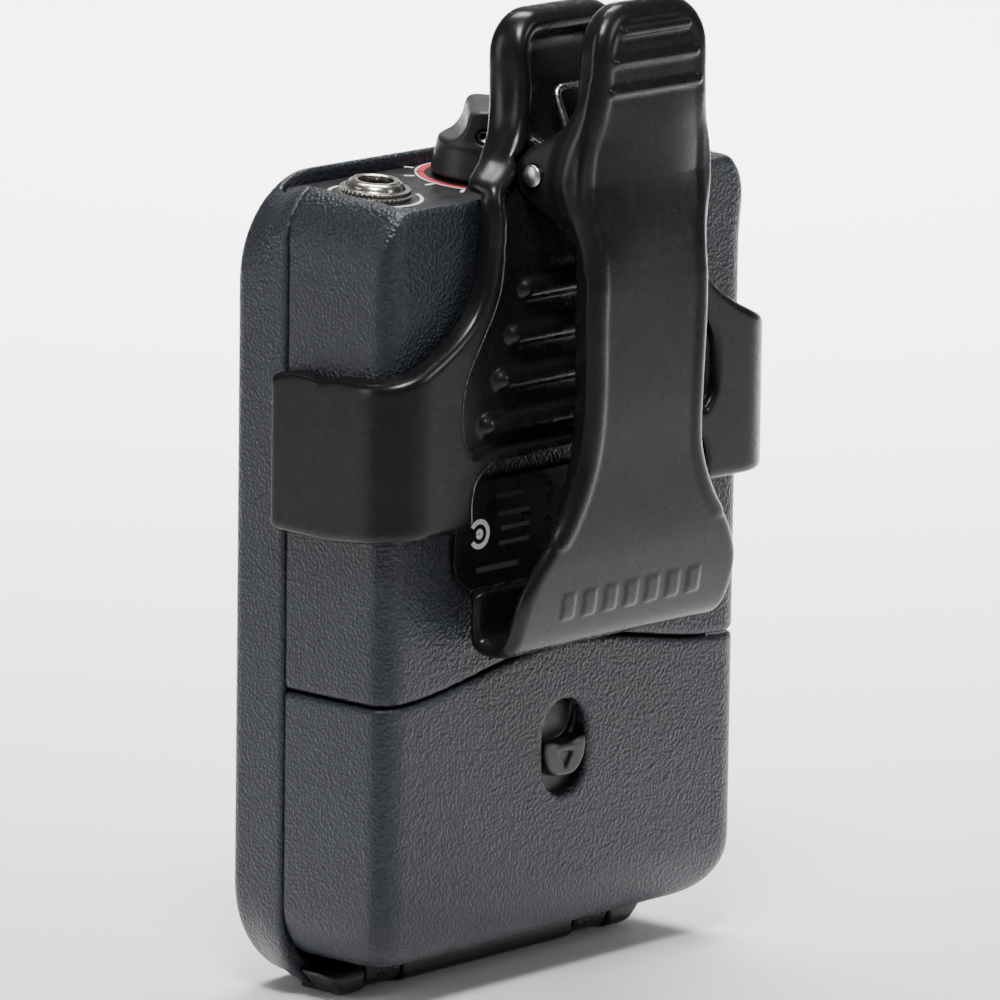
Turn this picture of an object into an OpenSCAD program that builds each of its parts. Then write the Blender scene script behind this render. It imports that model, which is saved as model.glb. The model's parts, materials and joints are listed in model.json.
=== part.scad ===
// Wireless bodypack transmitter with a squeeze-open belt clip.
// Z is up and the unit stands on its base strip. The belt clip is on the back, towards +Y.

/* [Case] */
// Width of the case
case_w = 62; // [61:0.5:63]
// Depth of the case without the clip
case_d = 24.9; // [24.5:0.1:25.5]
// Height of the front rim above the base
case_h = 95.3; // [95:0.1:96]
// Wall thickness of both shells
wall = 2; // [1.8:0.1:2.2]
// How much lower the rear rim is than the front rim
rim_drop = 1.5; // [1:0.1:2]
// Depth of the front shell, from its face to the parting line
front_depth = 8.2; // [8:0.1:8.4]
// Height of the rear shell's underside above the base
rear_lift = 3.6; // [3.4:0.1:3.8]
// Rounding of the long edges beside the back face
back_edge_r = 3.5; // [3:0.5:4]

/* [Battery bay] */
// Diameter of one AA cell
cell_d = 14.2; // [14:0.1:14.4]
// Length of one AA cell with its button
cell_l = 50.2; // [49.8:0.1:50.5]
// Height of the door's edge at the sides of the case
door_edge_z = 36.8; // [36.5:0.1:37.2]
// Rise of the door's wavy edge at the middle
door_wave = 3.6; // [3:0.1:4]
// Gap between the door and the rear shell
door_gap = 0.3; // [0.25:0.05:0.4]
// How far the latch slides down
latch_travel = 2; // [1.5:0.1:2]

/* [Top panel] */
// Tilt of the panel, down towards the back
panel_tilt = 5; // [4:0.5:6]
// Height of the panel's surface at mid depth
panel_z = 92.6; // [92.4:0.1:92.8]
// Distance of the microphone jack from the middle
jack_x = 18.2; // [17.5:0.1:18.5]
// Radius of the jack's bore for a 3.5 mm plug
jack_bore_r = 1.8; // [1.78:0.01:1.85]
// Radius of the level knob's skirt
knob_r = 5.7; // [5.5:0.1:5.8]
// Height of the level knob
knob_h = 8.7; // [8.5:0.1:9]

/* [Belt clip] */
// Height of the clip's hinge pin above the base
pin_z = 96.6; // [96.4:0.1:96.8]
// Position of the hinge pin from the middle of the case depth
pin_y = 15.6; // [15.5:0.05:15.7]
// Radius of the hinge pin
pin_r = 1; // [0.9:0.1:1.1]
// Thickness of the bracket's side arms
arm_t = 2.3; // [2.1:0.1:2.4]
// Thickness of the lever's plate
lever_t = 2; // [1.8:0.1:2]
// Diameter of the spring wire
wire_d = 1; // [0.9:0.1:1.1]

/* [Hidden] */
$fn = 48;
eps = 0.01;
far = 200;

half_w = case_w / 2;
back_y = case_d / 2;
front_y = -back_y;
parting_y = front_y + front_depth;
inner_back_y = back_y - wall;
inner_front_y = front_y + wall;
roof_z = 89;
rim_slope = rim_drop / case_d;
fit = 0.15;

front_corner_r = 13;
rear_corner_r = 8;
top_corner_r = 7;
underside_r = 9;
front_edge_r = 1.3;

hinge_y = -1.4;
hinge_z = 1.9;
hinge_pin_r = 0.75;
knuckle_r = 1.5;
knuckle_w = 6;
knuckle_xs = [-18, 18];
strip_back_y = 0.2;
strip_top_w = 56.4;
strip_bottom_w = 49;

cell_y = 1;
lower_cell_z = 13.7;
cell_pitch = 14.9;
upper_cell_z = lower_cell_z + cell_pitch;
tray_wall = 1.2;
tray_front_y = cell_y - cell_d / 2 - fit - tray_wall;
tray_top_z = 37.4;
tray_half_w = 28.3;
tray_side_t = 1;
contact_x = tray_half_w - tray_side_t;
contact_gap = contact_x - cell_l / 2;

board_t = 1.2;
board_y = -7.6;
board_back_y = board_y + board_t;
board_bottom_z = 39.5;
board_top_z = 77.5;
board_half_w = 27;

slot_w = 7.5;
slot_top_z = 33.3;
latch_tab_top_z = 28.6;
latch_tab_bottom_z = 24.2;
slot_bottom_z = latch_tab_bottom_z - latch_travel - 0.2;
latch_y0 = 8.7;
latch_y1 = 9.9;
latch_half_w = 5;
latch_top_z = 40;

knob_y = -3.2;
jack_y = -2.6;
led_x = -17;
nut_r = 4.2;
panel_t = 1.4;
panel_half_w = 26.4;
panel_half_d = 10.6;

bracket_y0 = back_y + 0.05;
arm_y1 = back_y + 2.7;
floor_y = bracket_y0 + 1.4;
arm_x1 = half_w + arm_t;
arm_end_y = -4.8;
arm_bottom_z = 55.6;
arm_top_z = 74.8;
lug_x0 = 6.9;
lug_x1 = 8.9;
ear_x0 = 9.3;
ear_x1 = 11.5;
ear_r = 3;
ear_gap = 0.25;
lug_r = 2.7;
pin_play = 0.04;

knob_skirt_h = 4.4;
knob_lift = 0.35;
knob_top_r = knob_r - 0.7;
knob_turn = 45;
grub_z = 5.7;
grub_r = 0.8;

display_z = 66;
display_w = 30;
display_h = 14;
key_z = 50;
key_xs = [-8, 8];
key_w = 9;
key_h = 5;
boss_xs = [-25.6, 25.6];
boss_z = 66;
boss_r = 2.6;
screw_r = 1.1;
tray_screw_xs = [-14, 14];
tray_screw_z = (lower_cell_z + upper_cell_z) / 2;

charcoal = [0.16, 0.17, 0.2];
gloss_black = [0.05, 0.05, 0.06];
matt_black = [0.08, 0.08, 0.09];
steel = [0.75, 0.75, 0.77];
board_green = [0.05, 0.35, 0.2];

// Points along an arc from angle a0 to a1.
function arc(c, r, a0, a1, n = 10) =
  [for (i = [0:n]) c + r * [cos(a0 + (a1 - a0) * i / n), sin(a0 + (a1 - a0) * i / n)]];

// A closed outline from its right half, listed from bottom to top.
function mirrored(half) = concat(half, [for (i = [len(half) - 1:-1:0]) [-half[i][0], half[i][1]]]);

// A half outline moved in by t, and down by t as well above top_z.
function narrowed(half, t, top_z) = [for (p = half) [p[0] - t, p[1] - (p[1] > top_z ? t : 0)]];

// Height of the door's edge at a distance x from the middle.
function wave_z(x) = door_edge_z + door_wave * (1 + cos(180 * min(abs(x), 29) / 29)) / 2;

// Height of the rims at a depth y.
function rim_z(y) = case_h - rim_slope * (y - front_y);

module along_y(y0, y1) {
  translate([0, y1, 0]) rotate([90, 0, 0]) linear_extrude(y1 - y0) children();
}

module along_x(x0, x1) {
  translate([x0, 0, 0]) rotate([90, 0, 90]) linear_extrude(x1 - x0) children();
}

// Places a child in the tilted frame of the top panel's surface, above the point (x, y).
module on_panel(x, y) {
  translate([x, y, panel_z - y * tan(panel_tilt)]) rotate([-panel_tilt, 0, 0]) children();
}

// Turns a cylinder's axis from Z to X.
module lying() {
  rotate([0, 90, 0]) children();
}

// Outline of the case seen from the front, drawn inset by t.
module face_outline(bottom_z, corner_r, t) {
  w = half_w - t;
  r = corner_r - t;
  top_r = top_corner_r - t;
  top_z = case_h + 0.2 - t;
  polygon(mirrored(concat(
    arc([w - r, bottom_z + t + r], r, -90, 0),
    arc([w - top_r, top_z - top_r], top_r, 0, 90)
  )));
}

// Outline of the case seen from above, drawn inset by t.
module plan_outline(t) {
  w = half_w - t;
  y0 = front_y + t;
  y1 = back_y - t;
  fr = max(front_edge_r - t, 0.3);
  br = max(back_edge_r - t, 0.5);
  polygon(mirrored(concat(
    arc([w - fr, y0 + fr], fr, -90, 0, 4),
    arc([w - br, y1 - br], br, 0, 90, 8)
  )));
}

// Outline of the case seen from the side, with the sloping rim and the round underside.
module side_outline(bottom_z, round_r, t, top_z) {
  y0 = front_y + t;
  y1 = back_y - t;
  r = round_r - t;
  polygon(concat(
    [[y0, bottom_z + t]],
    arc([y1 - r, bottom_z + t + r], r, -90, 0),
    [[y1, min(top_z, rim_z(y1))], [y0, min(top_z, rim_z(y0))]]
  ));
}

module case_block(bottom_z, corner_r, round_r, t, top_z) {
  intersection() {
    along_y(front_y, back_y) face_outline(bottom_z, corner_r, t);
    linear_extrude(case_h + 5) plan_outline(t);
    along_x(-half_w, half_w) side_outline(bottom_z, round_r, t, top_z);
  }
}

module shell(bottom_z, corner_r, round_r) {
  difference() {
    case_block(bottom_z, corner_r, round_r, 0, far);
    case_block(bottom_z, corner_r, round_r, wall, roof_z);
    on_panel(0, 0) translate([0, 0, -panel_t - fit])
      linear_extrude(20) panel_plan(panel_half_w + fit, panel_half_d + fit, 3);
    translate([0, 0, roof_z - 2]) linear_extrude(20) panel_plan(24.5, 8.8, 2);
  }
}

module panel_plan(w, d, r) {
  polygon(mirrored(concat(arc([w - r, -d + r], r, -90, 0, 6), arc([w - r, d - r], r, 0, 90, 6))));
}

// The part of the rear half that is the door, seen from the front and grown upwards by g.
module door_zone(g) {
  along_y(parting_y - 1, back_y + 5)
    polygon(concat(
      [[-40, -5], [40, -5]],
      [for (x = [40:-2:-40]) [x, wave_z(x) + g]]
    ));
}

module obround(w, z0, z1) {
  r = w / 2;
  translate([0, z0 + r]) circle(r);
  translate([0, z1 - r]) circle(r);
  translate([-r, z0 + r]) square([w, z1 - z0 - w]);
}

// ---- Case ----

module rounded_slab(w, h, r) {
  translate([-w / 2 + r, -h / 2]) square([w - 2 * r, h]);
  translate([-w / 2, -h / 2 + r]) square([w, h - 2 * r]);
  for (sx = [-1, 1], sz = [-1, 1])
    translate([sx * (w / 2 - r), sz * (h / 2 - r)]) circle(r);
}

module front_shell() {
  color(charcoal) difference() {
    union() {
      intersection() {
        shell(0, front_corner_r, 1);
        translate([-far, front_y - 1, -1]) cube([2 * far, front_depth + 1, far]);
      }
      for (x = boss_xs)
        translate([x, parting_y, boss_z]) rotate([90, 0, 0])
          cylinder(r = boss_r, h = front_depth - wall + 0.5);
      for (x = tray_screw_xs)
        translate([x, tray_front_y, tray_screw_z]) rotate([90, 0, 0])
          cylinder(r = boss_r, h = tray_front_y - inner_front_y + 0.5);
    }
    for (x = boss_xs)
      translate([x, parting_y + 1, boss_z]) rotate([90, 0, 0]) cylinder(r = screw_r, h = 6);
    for (x = tray_screw_xs)
      translate([x, tray_front_y + 1, tray_screw_z]) rotate([90, 0, 0])
        cylinder(r = screw_r, h = 5.5);
    // Seat and through opening of the display window.
    translate([0, 0, display_z]) along_y(front_y - 1, front_y + 1)
      rounded_slab(display_w, display_h, 1.5);
    translate([0, 0, display_z]) along_y(front_y, inner_front_y + 1)
      rounded_slab(display_w - 4, display_h - 4, 0.8);
    for (x = key_xs)
      translate([x, 0, key_z]) along_y(front_y - 1, inner_front_y + 1)
        rounded_slab(key_w, key_h, 1.6);
    // The base strip's seat.
    translate([-strip_bottom_w / 2 - fit, parting_y - 3, -1])
      cube([strip_bottom_w + 2 * fit, 5, 1 + 1.6]);
  }
}

module rear_shell() {
  color(charcoal) difference() {
    union() {
      difference() {
        intersection() {
          shell(rear_lift, rear_corner_r, underside_r);
          translate([-far, parting_y + 0.1, -1]) cube([2 * far, far, far]);
        }
        door_zone(door_gap / 2);
      }
      for (x = boss_xs)
        translate([x, inner_back_y + 0.5, boss_z]) rotate([90, 0, 0])
          cylinder(r = boss_r, h = inner_back_y + 0.5 - parting_y - 0.1);
    }
    // Screw holes with counterbores, under the bracket's arms.
    for (x = boss_xs) {
      translate([x, back_y + 1, boss_z]) rotate([90, 0, 0])
        cylinder(r = screw_r + 0.3, h = case_d);
      translate([x, back_y + 1, boss_z]) rotate([90, 0, 0]) cylinder(r = 2.1, h = 4);
    }
    // Shallow recess for the label.
    along_y(back_y - 0.5, back_y + 1) label_outline(0.2);
  }
}

module base_strip() {
  top_z = rear_lift - fit;
  y0 = parting_y - 2.8;
  color(matt_black) difference() {
    intersection() {
      along_x(-half_w, half_w) union() {
        translate([y0, 0]) square([hinge_y - y0, top_z]);
        translate([hinge_y - 1, 0]) square([strip_back_y - hinge_y + 0.6, hinge_z]);
        translate([hinge_y, hinge_z]) intersection() {
          circle(strip_back_y - hinge_y);
          translate([0, -2]) square([2, 2 + top_z - hinge_z]);
        }
      }
      union() {
        along_y(parting_y + fit, 1)
          polygon(mirrored([[strip_bottom_w / 2, 0], [strip_top_w / 2, top_z]]));
        translate([-strip_bottom_w / 2, y0, 0])
          cube([strip_bottom_w, parting_y + 1 - y0, 1.6 - fit]);
      }
    }
    for (x = knuckle_xs)
      translate([x - knuckle_w / 2 - 0.3, hinge_y - 1.9, -1])
        cube([knuckle_w + 0.6, 5, 6]);
    translate([-26, hinge_y, hinge_z]) lying() cylinder(r = hinge_pin_r, h = 52);
  }
}

module label_outline(g) {
  polygon(mirrored([
    [17.5 + g, 48.9 - g], [19.8 + g, 50.6], [20.3 + g, 52.5], [19.9 + g, 60], [18.6 + g, 61.4 + g]
  ]));
}

module rear_label() {
  color(matt_black) along_y(back_y - 0.5, back_y - 0.15) label_outline(0);
}

module top_panel() {
  color(gloss_black) difference() {
    on_panel(0, 0) translate([0, 0, -panel_t]) linear_extrude(panel_t)
      panel_plan(panel_half_w, panel_half_d, 3);
    on_panel(jack_x, jack_y) translate([0, 0, -5]) cylinder(r = 3.05, h = 10);
    on_panel(0, knob_y) translate([0, 0, -5]) cylinder(r = 3.6, h = 10);
    on_panel(led_x, knob_y) translate([0, 0, -5]) cylinder(r = 1.55, h = 10);
  }
}

// ---- Fasteners ----

module pan_screw(length) {
  cylinder(r = screw_r - 0.02, h = length);
  translate([0, 0, -1.2]) difference() {
    cylinder(r = 1.95, h = 1.2);
    for (a = [0, 90]) rotate([0, 0, a]) translate([-1.2, -0.25, -eps]) cube([2.4, 0.5, 0.6]);
  }
}

module case_screws() {
  head_y = back_y - 3;
  color(steel) for (x = boss_xs)
    translate([x, head_y, boss_z]) rotate([90, 0, 0]) pan_screw(head_y - parting_y + 4);
}

module tray_screws() {
  head_y = tray_front_y + tray_wall;
  color(steel) for (x = tray_screw_xs)
    translate([x, head_y, tray_screw_z]) rotate([90, 0, 0]) pan_screw(tray_wall + 4);
}

// ---- Battery bay ----

module battery_tray() {
  y0 = tray_front_y;
  back_wall_z = 6.2;
  side_wall_z = 12.3;
  depth = 8 - y0;
  color(matt_black) difference() {
    intersection() {
      union() {
        translate([-tray_half_w, y0, back_wall_z])
          cube([2 * tray_half_w, tray_wall, tray_top_z - back_wall_z]);
        translate([-tray_half_w, y0, tray_top_z - tray_wall]) cube([2 * tray_half_w, depth, tray_wall]);
        for (sx = [-1, 1])
          translate([sx * (tray_half_w - tray_side_t / 2) - tray_side_t / 2, y0, side_wall_z])
            cube([tray_side_t, depth, tray_top_z - side_wall_z]);
      }
      along_y(front_y, back_y) face_outline(0, front_corner_r, wall + fit);
    }
    for (x = tray_screw_xs)
      translate([x, 0, tray_screw_z]) rotate([90, 0, 0]) cylinder(r = screw_r + 0.1, h = 20);
  }
}

module cell() {
  nub = 1.3;
  body_l = cell_l - nub;
  translate([-cell_l / 2, 0, 0]) lying() {
    cylinder(r = cell_d / 2, h = body_l);
    translate([0, 0, body_l - eps]) cylinder(r = 2.7, h = nub + eps);
  }
}

module upper_cell() {
  color([0.1, 0.1, 0.12]) translate([0, cell_y, upper_cell_z]) cell();
}

module lower_cell() {
  color([0.1, 0.1, 0.12]) translate([0, cell_y, lower_cell_z]) rotate([0, 0, 180]) cell();
}

// One conical contact, built from stacked rings of wire, pointing to +X.
module contact_spring() {
  wire_r = 0.35;
  turns = 4;
  step = (contact_gap - 0.4 - wire_r) / turns;
  lying() {
    cylinder(r = 4.6, h = 0.4);
    for (i = [0:turns - 1])
      translate([0, 0, 0.2 + step * i]) difference() {
        cylinder(r = 4.2 - 0.4 * i, h = step + 0.1);
        translate([0, 0, -1]) cylinder(r = 3.4 - 0.4 * i, h = step + 3);
      }
  }
}

module contact_springs() {
  color(steel) {
    translate([-contact_x, cell_y, upper_cell_z]) contact_spring();
    translate([contact_x, cell_y, lower_cell_z]) mirror([1, 0, 0]) contact_spring();
  }
}

module contact_plates() {
  plate_t = 0.4;
  plate_w = 9;
  plate_h = 11;
  color(steel) for (s = [[1, upper_cell_z], [-1, lower_cell_z]])
    translate([s[0] * (contact_x - plate_t / 2) - plate_t / 2, cell_y - 5, s[1] - plate_h / 2])
      cube([plate_t, plate_w, plate_h]);
}

module battery_door() {
  rail_w = 1;
  rail_z = 18;
  rail_h = 15;
  color(charcoal) difference() {
    union() {
      difference() {
        intersection() {
          case_block(rear_lift, rear_corner_r, underside_r, 0, far);
          translate([-far, parting_y + 0.1, -1]) cube([2 * far, far, far]);
          door_zone(-door_gap / 2);
        }
        case_block(rear_lift, rear_corner_r, underside_r, wall, far);
      }
      for (x = knuckle_xs) {
        translate([x - knuckle_w / 2, hinge_y, hinge_z]) lying() cylinder(r = knuckle_r, h = knuckle_w);
        translate([x - knuckle_w / 2, hinge_y - knuckle_r, hinge_z])
          cube([knuckle_w, 2 * knuckle_r, rear_lift + 1 - hinge_z]);
      }
      // Rails that guide the latch.
      for (sx = [-1, 1])
        translate([sx * (latch_half_w + 0.8) - rail_w / 2, latch_y0, rail_z])
          cube([rail_w, inner_back_y - latch_y0 + 0.5, rail_h]);
    }
    along_y(6, back_y + 1) obround(slot_w, slot_bottom_z, slot_top_z);
    for (x = knuckle_xs)
      translate([x - knuckle_w, hinge_y, hinge_z]) lying()
        cylinder(r = hinge_pin_r + pin_play, h = 2 * knuckle_w);
  }
}

module door_pins() {
  pin_l = 14;
  color(steel) for (x = knuckle_xs)
    translate([x - pin_l / 2, hinge_y, hinge_z]) lying() cylinder(r = hinge_pin_r, h = pin_l);
}

module door_latch() {
  color(matt_black) difference() {
    union() {
      // Slide plate behind the door's wall, with the tongue above it.
      along_y(latch_y0, latch_y1) union() {
        translate([-latch_half_w, 17.5]) square([2 * latch_half_w, 18]);
        translate([-2.5, 35]) square([5, latch_top_z - 35]);
      }
      // Thumb tab standing in the slot.
      along_y(latch_y1 - eps, back_y - 0.7) intersection() {
        obround(slot_w - 0.5, latch_tab_bottom_z - 0.2, latch_tab_top_z + 8);
        translate([-slot_w, latch_tab_bottom_z - 3])
          square([2 * slot_w, latch_tab_top_z - latch_tab_bottom_z + 3]);
      }
    }
    // Finger hollow behind the upper half of the slot.
    translate([0, latch_y0 + 0.6, 0]) along_y(0, 10) obround(slot_w - 0.6, latch_tab_top_z, 34.5);
    // Arrow cut into the tab.
    along_y(back_y - 1, back_y) polygon([[-1.1, 27.4], [1.1, 27.4], [0, 25.4]]);
  }
}

module latch_spring() {
  turns = 7;
  spring_r = 0.85;
  wire_r = 0.2;
  z0 = 12.6;
  pitch = (17.4 - z0) / turns;
  color(steel) translate([0, (latch_y0 + latch_y1) / 2 + 0.1, z0]) union() {
    for (i = [0:turns - 1])
      translate([0, 0, pitch * i]) difference() {
        cylinder(r = spring_r, h = pitch + eps);
        translate([0, 0, -1]) cylinder(r = spring_r - 2 * wire_r, h = pitch + 2);
      }
  }
}

// ---- Electronics ----

module main_board() {
  color(board_green) difference() {
    along_y(board_y, board_back_y)
      translate([-board_half_w, board_bottom_z])
        square([2 * board_half_w, board_top_z - board_bottom_z]);
    for (x = boss_xs)
      translate([x, 0, boss_z]) rotate([90, 0, 0]) cylinder(r = boss_r + 0.4, h = case_d);
  }
}

module rf_shield() {
  color(steel) difference() {
    translate([-21, board_back_y, 42]) cube([22, 3.2, 18]);
    translate([-20.7, board_back_y - 1, 42.3]) cube([21.4, 3.9, 17.4]);
    for (i = [0:3], k = [0:2])
      translate([-17.5 + 5 * i, 0, 46 + 5 * k]) rotate([90, 0, 0])
        cylinder(r = 0.6, h = case_d, center = true);
  }
}

// Packages on the back of the board: [x, z, width, height, thickness].
board_packages = [
  [5, 44, 8, 8, 1.4], [16, 45, 6, 5, 1.2], [15, 54, 7, 4, 1.2], [5, 57, 5, 4, 1],
  [-16, 66, 6, 6, 1.3], [-6, 65, 4, 6, 1.1], [6, 68, 7, 5, 1.3], [16, 70, 4, 3, 1]
];

module board_parts() {
  color([0.1, 0.1, 0.1]) for (p = board_packages)
    translate([p[0], board_back_y, p[1]]) cube([p[2], p[4], p[3]]);
}

module crystal() {
  can_r = 2.2;
  color(steel) translate([8, 0, 63.4]) along_y(board_back_y, board_back_y + 3.4) {
    translate([-3, 0]) circle(can_r);
    translate([3, 0]) circle(can_r);
    translate([-3, -can_r]) square([6, 2 * can_r]);
  }
}

module aerial_coil() {
  turn_r = 1.7;
  wire_r = 0.35;
  color([0.8, 0.45, 0.25]) translate([18, board_back_y + turn_r + wire_r, 66.5])
    rotate_extrude() for (i = [-3:3]) translate([turn_r, i * 1.8 * wire_r / 2]) circle(wire_r, $fn = 16);
}

module display_window() {
  color([0.5, 0.6, 0.6, 0.5]) translate([0, 0, display_z]) along_y(front_y + 0.1, front_y + 0.95)
    rounded_slab(display_w - 0.3, display_h - 0.3, 1.4);
}

module display_module() {
  color([0.5, 0.6, 0.45]) translate([-15, inner_front_y + 0.2, display_z - 8])
    cube([30, board_y - inner_front_y - 0.2, 16]);
}

module key_switches() {
  color(steel) for (x = key_xs) {
    translate([x - 2.5, board_y - 0.8, key_z - 2.5]) cube([5, 0.8, 5]);
    translate([x, board_y - 0.8, key_z]) rotate([90, 0, 0]) cylinder(r = 1.2, h = 0.5);
  }
}

module key_cap(x) {
  flange_y = inner_front_y + 0.05;
  color(matt_black) translate([x, 0, key_z]) union() {
    along_y(front_y - 0.5, flange_y + 0.5) rounded_slab(key_w - 0.4, key_h - 0.4, 1.4);
    along_y(flange_y, flange_y + 0.9) rounded_slab(key_w + 1.4, key_h + 1.4, 1);
  }
}

module up_key() { key_cap(key_xs[1]); }

module down_key() { key_cap(key_xs[0]); }

// ---- Controls on the top panel ----

module jack_body() {
  body_w = 8.6;
  body_d = 7;
  body_h = 11.6;
  color(matt_black) on_panel(jack_x, jack_y) difference() {
    union() {
      translate([-body_w / 2, -body_d / 2, -panel_t - fit - body_h]) cube([body_w, body_d, body_h]);
      translate([0, 0, -panel_t - fit - 1]) cylinder(r = 2.95, h = panel_t + fit + 2);
    }
    translate([0, 0, -11]) cylinder(r = jack_bore_r, h = 20);
  }
}

module jack_nut() {
  color(steel) on_panel(jack_x, jack_y) difference() {
    union() {
      translate([0, 0, 0.05]) cylinder(r = nut_r, h = 1);
      translate([0, 0, 1.05 - eps]) cylinder(r1 = 3.6, r2 = 2.6, h = 0.9);
    }
    translate([0, 0, -0.5]) cylinder(r = 3, h = 1.5 + eps);
    cylinder(r = jack_bore_r + 0.25, h = 5);
  }
}

module level_pot() {
  color(steel) on_panel(0, knob_y) difference() {
    union() {
      translate([-4.8, -3.6, -panel_t - fit - 5.5]) cube([9.6, 8.2, 5.5]);
      translate([0, 0, -panel_t - fit - 1]) cylinder(r = 2.6, h = panel_t + fit + 2.9);
    }
    translate([0, 0, -6]) cylinder(r = 1.5 + pin_play, h = 12);
  }
}

module pot_shaft() {
  flat_y = 0.3;
  color(steel) on_panel(0, knob_y) difference() {
    translate([0, 0, -5.9]) cylinder(r = 1.5, h = 12.7);
    translate([-3, flat_y, 2.6]) cube([6, 3, 6]);
  }
}

module pot_nut() {
  color(steel) on_panel(0, knob_y) translate([0, 0, 0.05]) difference() {
    cylinder(r = 4.2, h = 1.4, $fn = 6);
    translate([0, 0, -1]) cylinder(r = 2.62, h = 4);
  }
}

// Half of the grip's cross-section: concave flanks rise from the skirt to a narrow crest.
grip_half = [[4.6, 4.2], [3.3, 4.9], [2.6, 5.7], [2.1, 6.7], [1.9, 7.8], [1.6, 8.4], [0.9, knob_h]];

// The grip runs along its own X, with the grub screw in one end.
module level_knob() {
  color(matt_black) on_panel(0, knob_y) rotate([0, 0, knob_turn]) difference() {
    union() {
      translate([0, 0, knob_lift]) cylinder(r1 = knob_r, r2 = knob_top_r, h = knob_skirt_h);
      intersection() {
        translate([0, 0, knob_lift]) cylinder(r = knob_top_r, h = knob_h);
        along_x(-knob_r, knob_r) polygon(mirrored(grip_half));
      }
    }
    cylinder(r = 4.4, h = 2.2);
    cylinder(r = 1.52, h = 7);
    translate([0, 0, grub_z]) lying() cylinder(r = grub_r, h = knob_r + 1);
  }
}

module knob_screw() {
  length = 3.4;
  hex_depth = 0.8;
  color(steel) on_panel(0, knob_y) rotate([0, 0, knob_turn]) translate([knob_top_r - 0.2 - length, 0, grub_z])
    lying() difference() {
      cylinder(r = grub_r - 0.02, h = length);
      translate([0, 0, length - hex_depth]) cylinder(r = 0.4, h = 1, $fn = 6);
    }
}

module status_led() {
  lens_r = 1.5;
  color([0.85, 0.15, 0.1]) on_panel(led_x, knob_y) {
    translate([0, 0, -4]) cylinder(r = lens_r, h = 4);
    intersection() {
      translate([0, 0, -eps]) sphere(lens_r);
      cylinder(r = lens_r, h = lens_r);
    }
  }
}

// ---- Belt clip ----

// Right half of the bracket's back plate, from the window up to the neck.
bracket_half = [
  [34, arm_bottom_z - 1], [34, 74.5], [31.5, 74.9], [27.6, 76.3], [23.3, 78.6], [20.2, 81.2],
  [18.3, 84.6], [17.3, 89], [17.1, 92.8]
];
window_half = [[20, arm_bottom_z - 5], [20, 60], [19.2, 62.2], [17.8, 63.4], [15.5, 64]];
// Right half of the neck and its finger pad.
neck_half = concat(
  [[17.1, 89], [17.1, 94.2], [16.3, 95.9], [13.3, 97.8], [11.6, 99.6], [10.6, 101], [9.7, 103.2],
   [9.3, 106], [9.3, 109.6]],
  arc([4.8, 109.4], 4.5, 10, 90, 6)
);
recess_half = [[20, 65.5], [21.5, 68], [21.2, 73.5], [18.6, 78], [16.2, 82], [15.1, 86], [14.8, 96]];

// Neck in side view: the front (y, z) points from the rear rim up, and its thickness.
neck_front = [
  [bracket_y0, 89], [bracket_y0, 94.7], [10.5, 94.7], [8.7, 98.2], [7.4, 103], [7, 108], [7.2, 114]
];
neck_back = [
  [9, 114], [9.1, 108], [9.6, 103.5], [10.7, 99.5], [11.9, 96.9], [12.9, 94.9], [floor_y, 93.4],
  [floor_y, 89]
];
neck_rim = [[10.3, 114], [11.8, 108], [12.2, 104], [12.7, 100.5], [13.8, 97.5], [15.6, 93.6], [15.9, 89]];
neck_rim_w = 2;

module neck_side(back) { polygon(concat(neck_front, back)); }

module clip_bracket() {
  rib_zs = [68.2, 73.2, 78.2, 83.3];
  rib_r = 1.35;
  color(gloss_black) difference() {
    union() {
      // Back plate and side arms, with the recessed floor and the window for the label.
      difference() {
        intersection() {
          translate([0, 0, arm_bottom_z - 1]) linear_extrude(40) arm_plan();
          along_y(-30, 30) polygon(mirrored(bracket_half));
          along_x(-40, 40) polygon([
            [arm_end_y, arm_bottom_z], [arm_end_y + 9, arm_bottom_z - 0.2],
            [arm_y1 + 1, arm_bottom_z + 1.2], [arm_y1 + 1, case_h], [9, case_h],
            [6, arm_top_z - 0.8], [3, arm_top_z - 0.8], [-1.4, arm_top_z], [arm_end_y, arm_top_z - 1]
          ]);
        }
        along_y(floor_y, arm_y1 + 1) polygon(mirrored(recess_half));
        along_y(0, 30) polygon(mirrored(window_half));
      }
      // Neck, its raised rims, and the lugs for the hinge pin.
      intersection() {
        along_x(-40, 40) neck_side(neck_back);
        along_y(0, 30) polygon(mirrored(neck_half));
      }
      intersection() {
        along_x(-40, 40) neck_side(neck_rim);
        difference() {
          along_y(0, 30) polygon(mirrored(neck_half));
          along_y(0, 30) polygon(mirrored(narrowed(neck_half, neck_rim_w, 109)));
          translate([-20, 0, 80]) cube([40, 40, 9 - eps]);
        }
      }
      for (sx = [-1, 1]) along_x_at(sx, lug_x0, lug_x1) union() {
        translate([pin_y, pin_z]) circle(lug_r);
        polygon([
          [pin_y, pin_z + lug_r], [9.6, 101.5], [11.8, 95.6], [12.9, 94.2], [pin_y, pin_z - lug_r]
        ]);
      }
      for (i = [0:3]) translate([-rib_half_w(i), floor_y - 0.3, rib_zs[i]]) lying()
        cylinder(r = rib_r, h = 2 * rib_half_w(i));
    }
    // Ribs are cut back to the floor's front, and the pin's hole goes through both lugs.
    translate([-20, 0, 60]) cube([40, bracket_y0, 30]);
    translate([-20, pin_y, pin_z]) lying() cylinder(r = pin_r, h = 40);
    // Room for the lever's ears to turn beside the raised rims.
    for (sx = [-1, 1]) along_x_at(sx, ear_x0 - ear_gap, ear_x1 + ear_gap)
      translate([pin_y, pin_z]) circle(ear_r + ear_gap);
  }
}

// Half length of each rib, from the lowest up.
function rib_half_w(i) = [18, 15.6, 13.7, 11.7][i];

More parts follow.
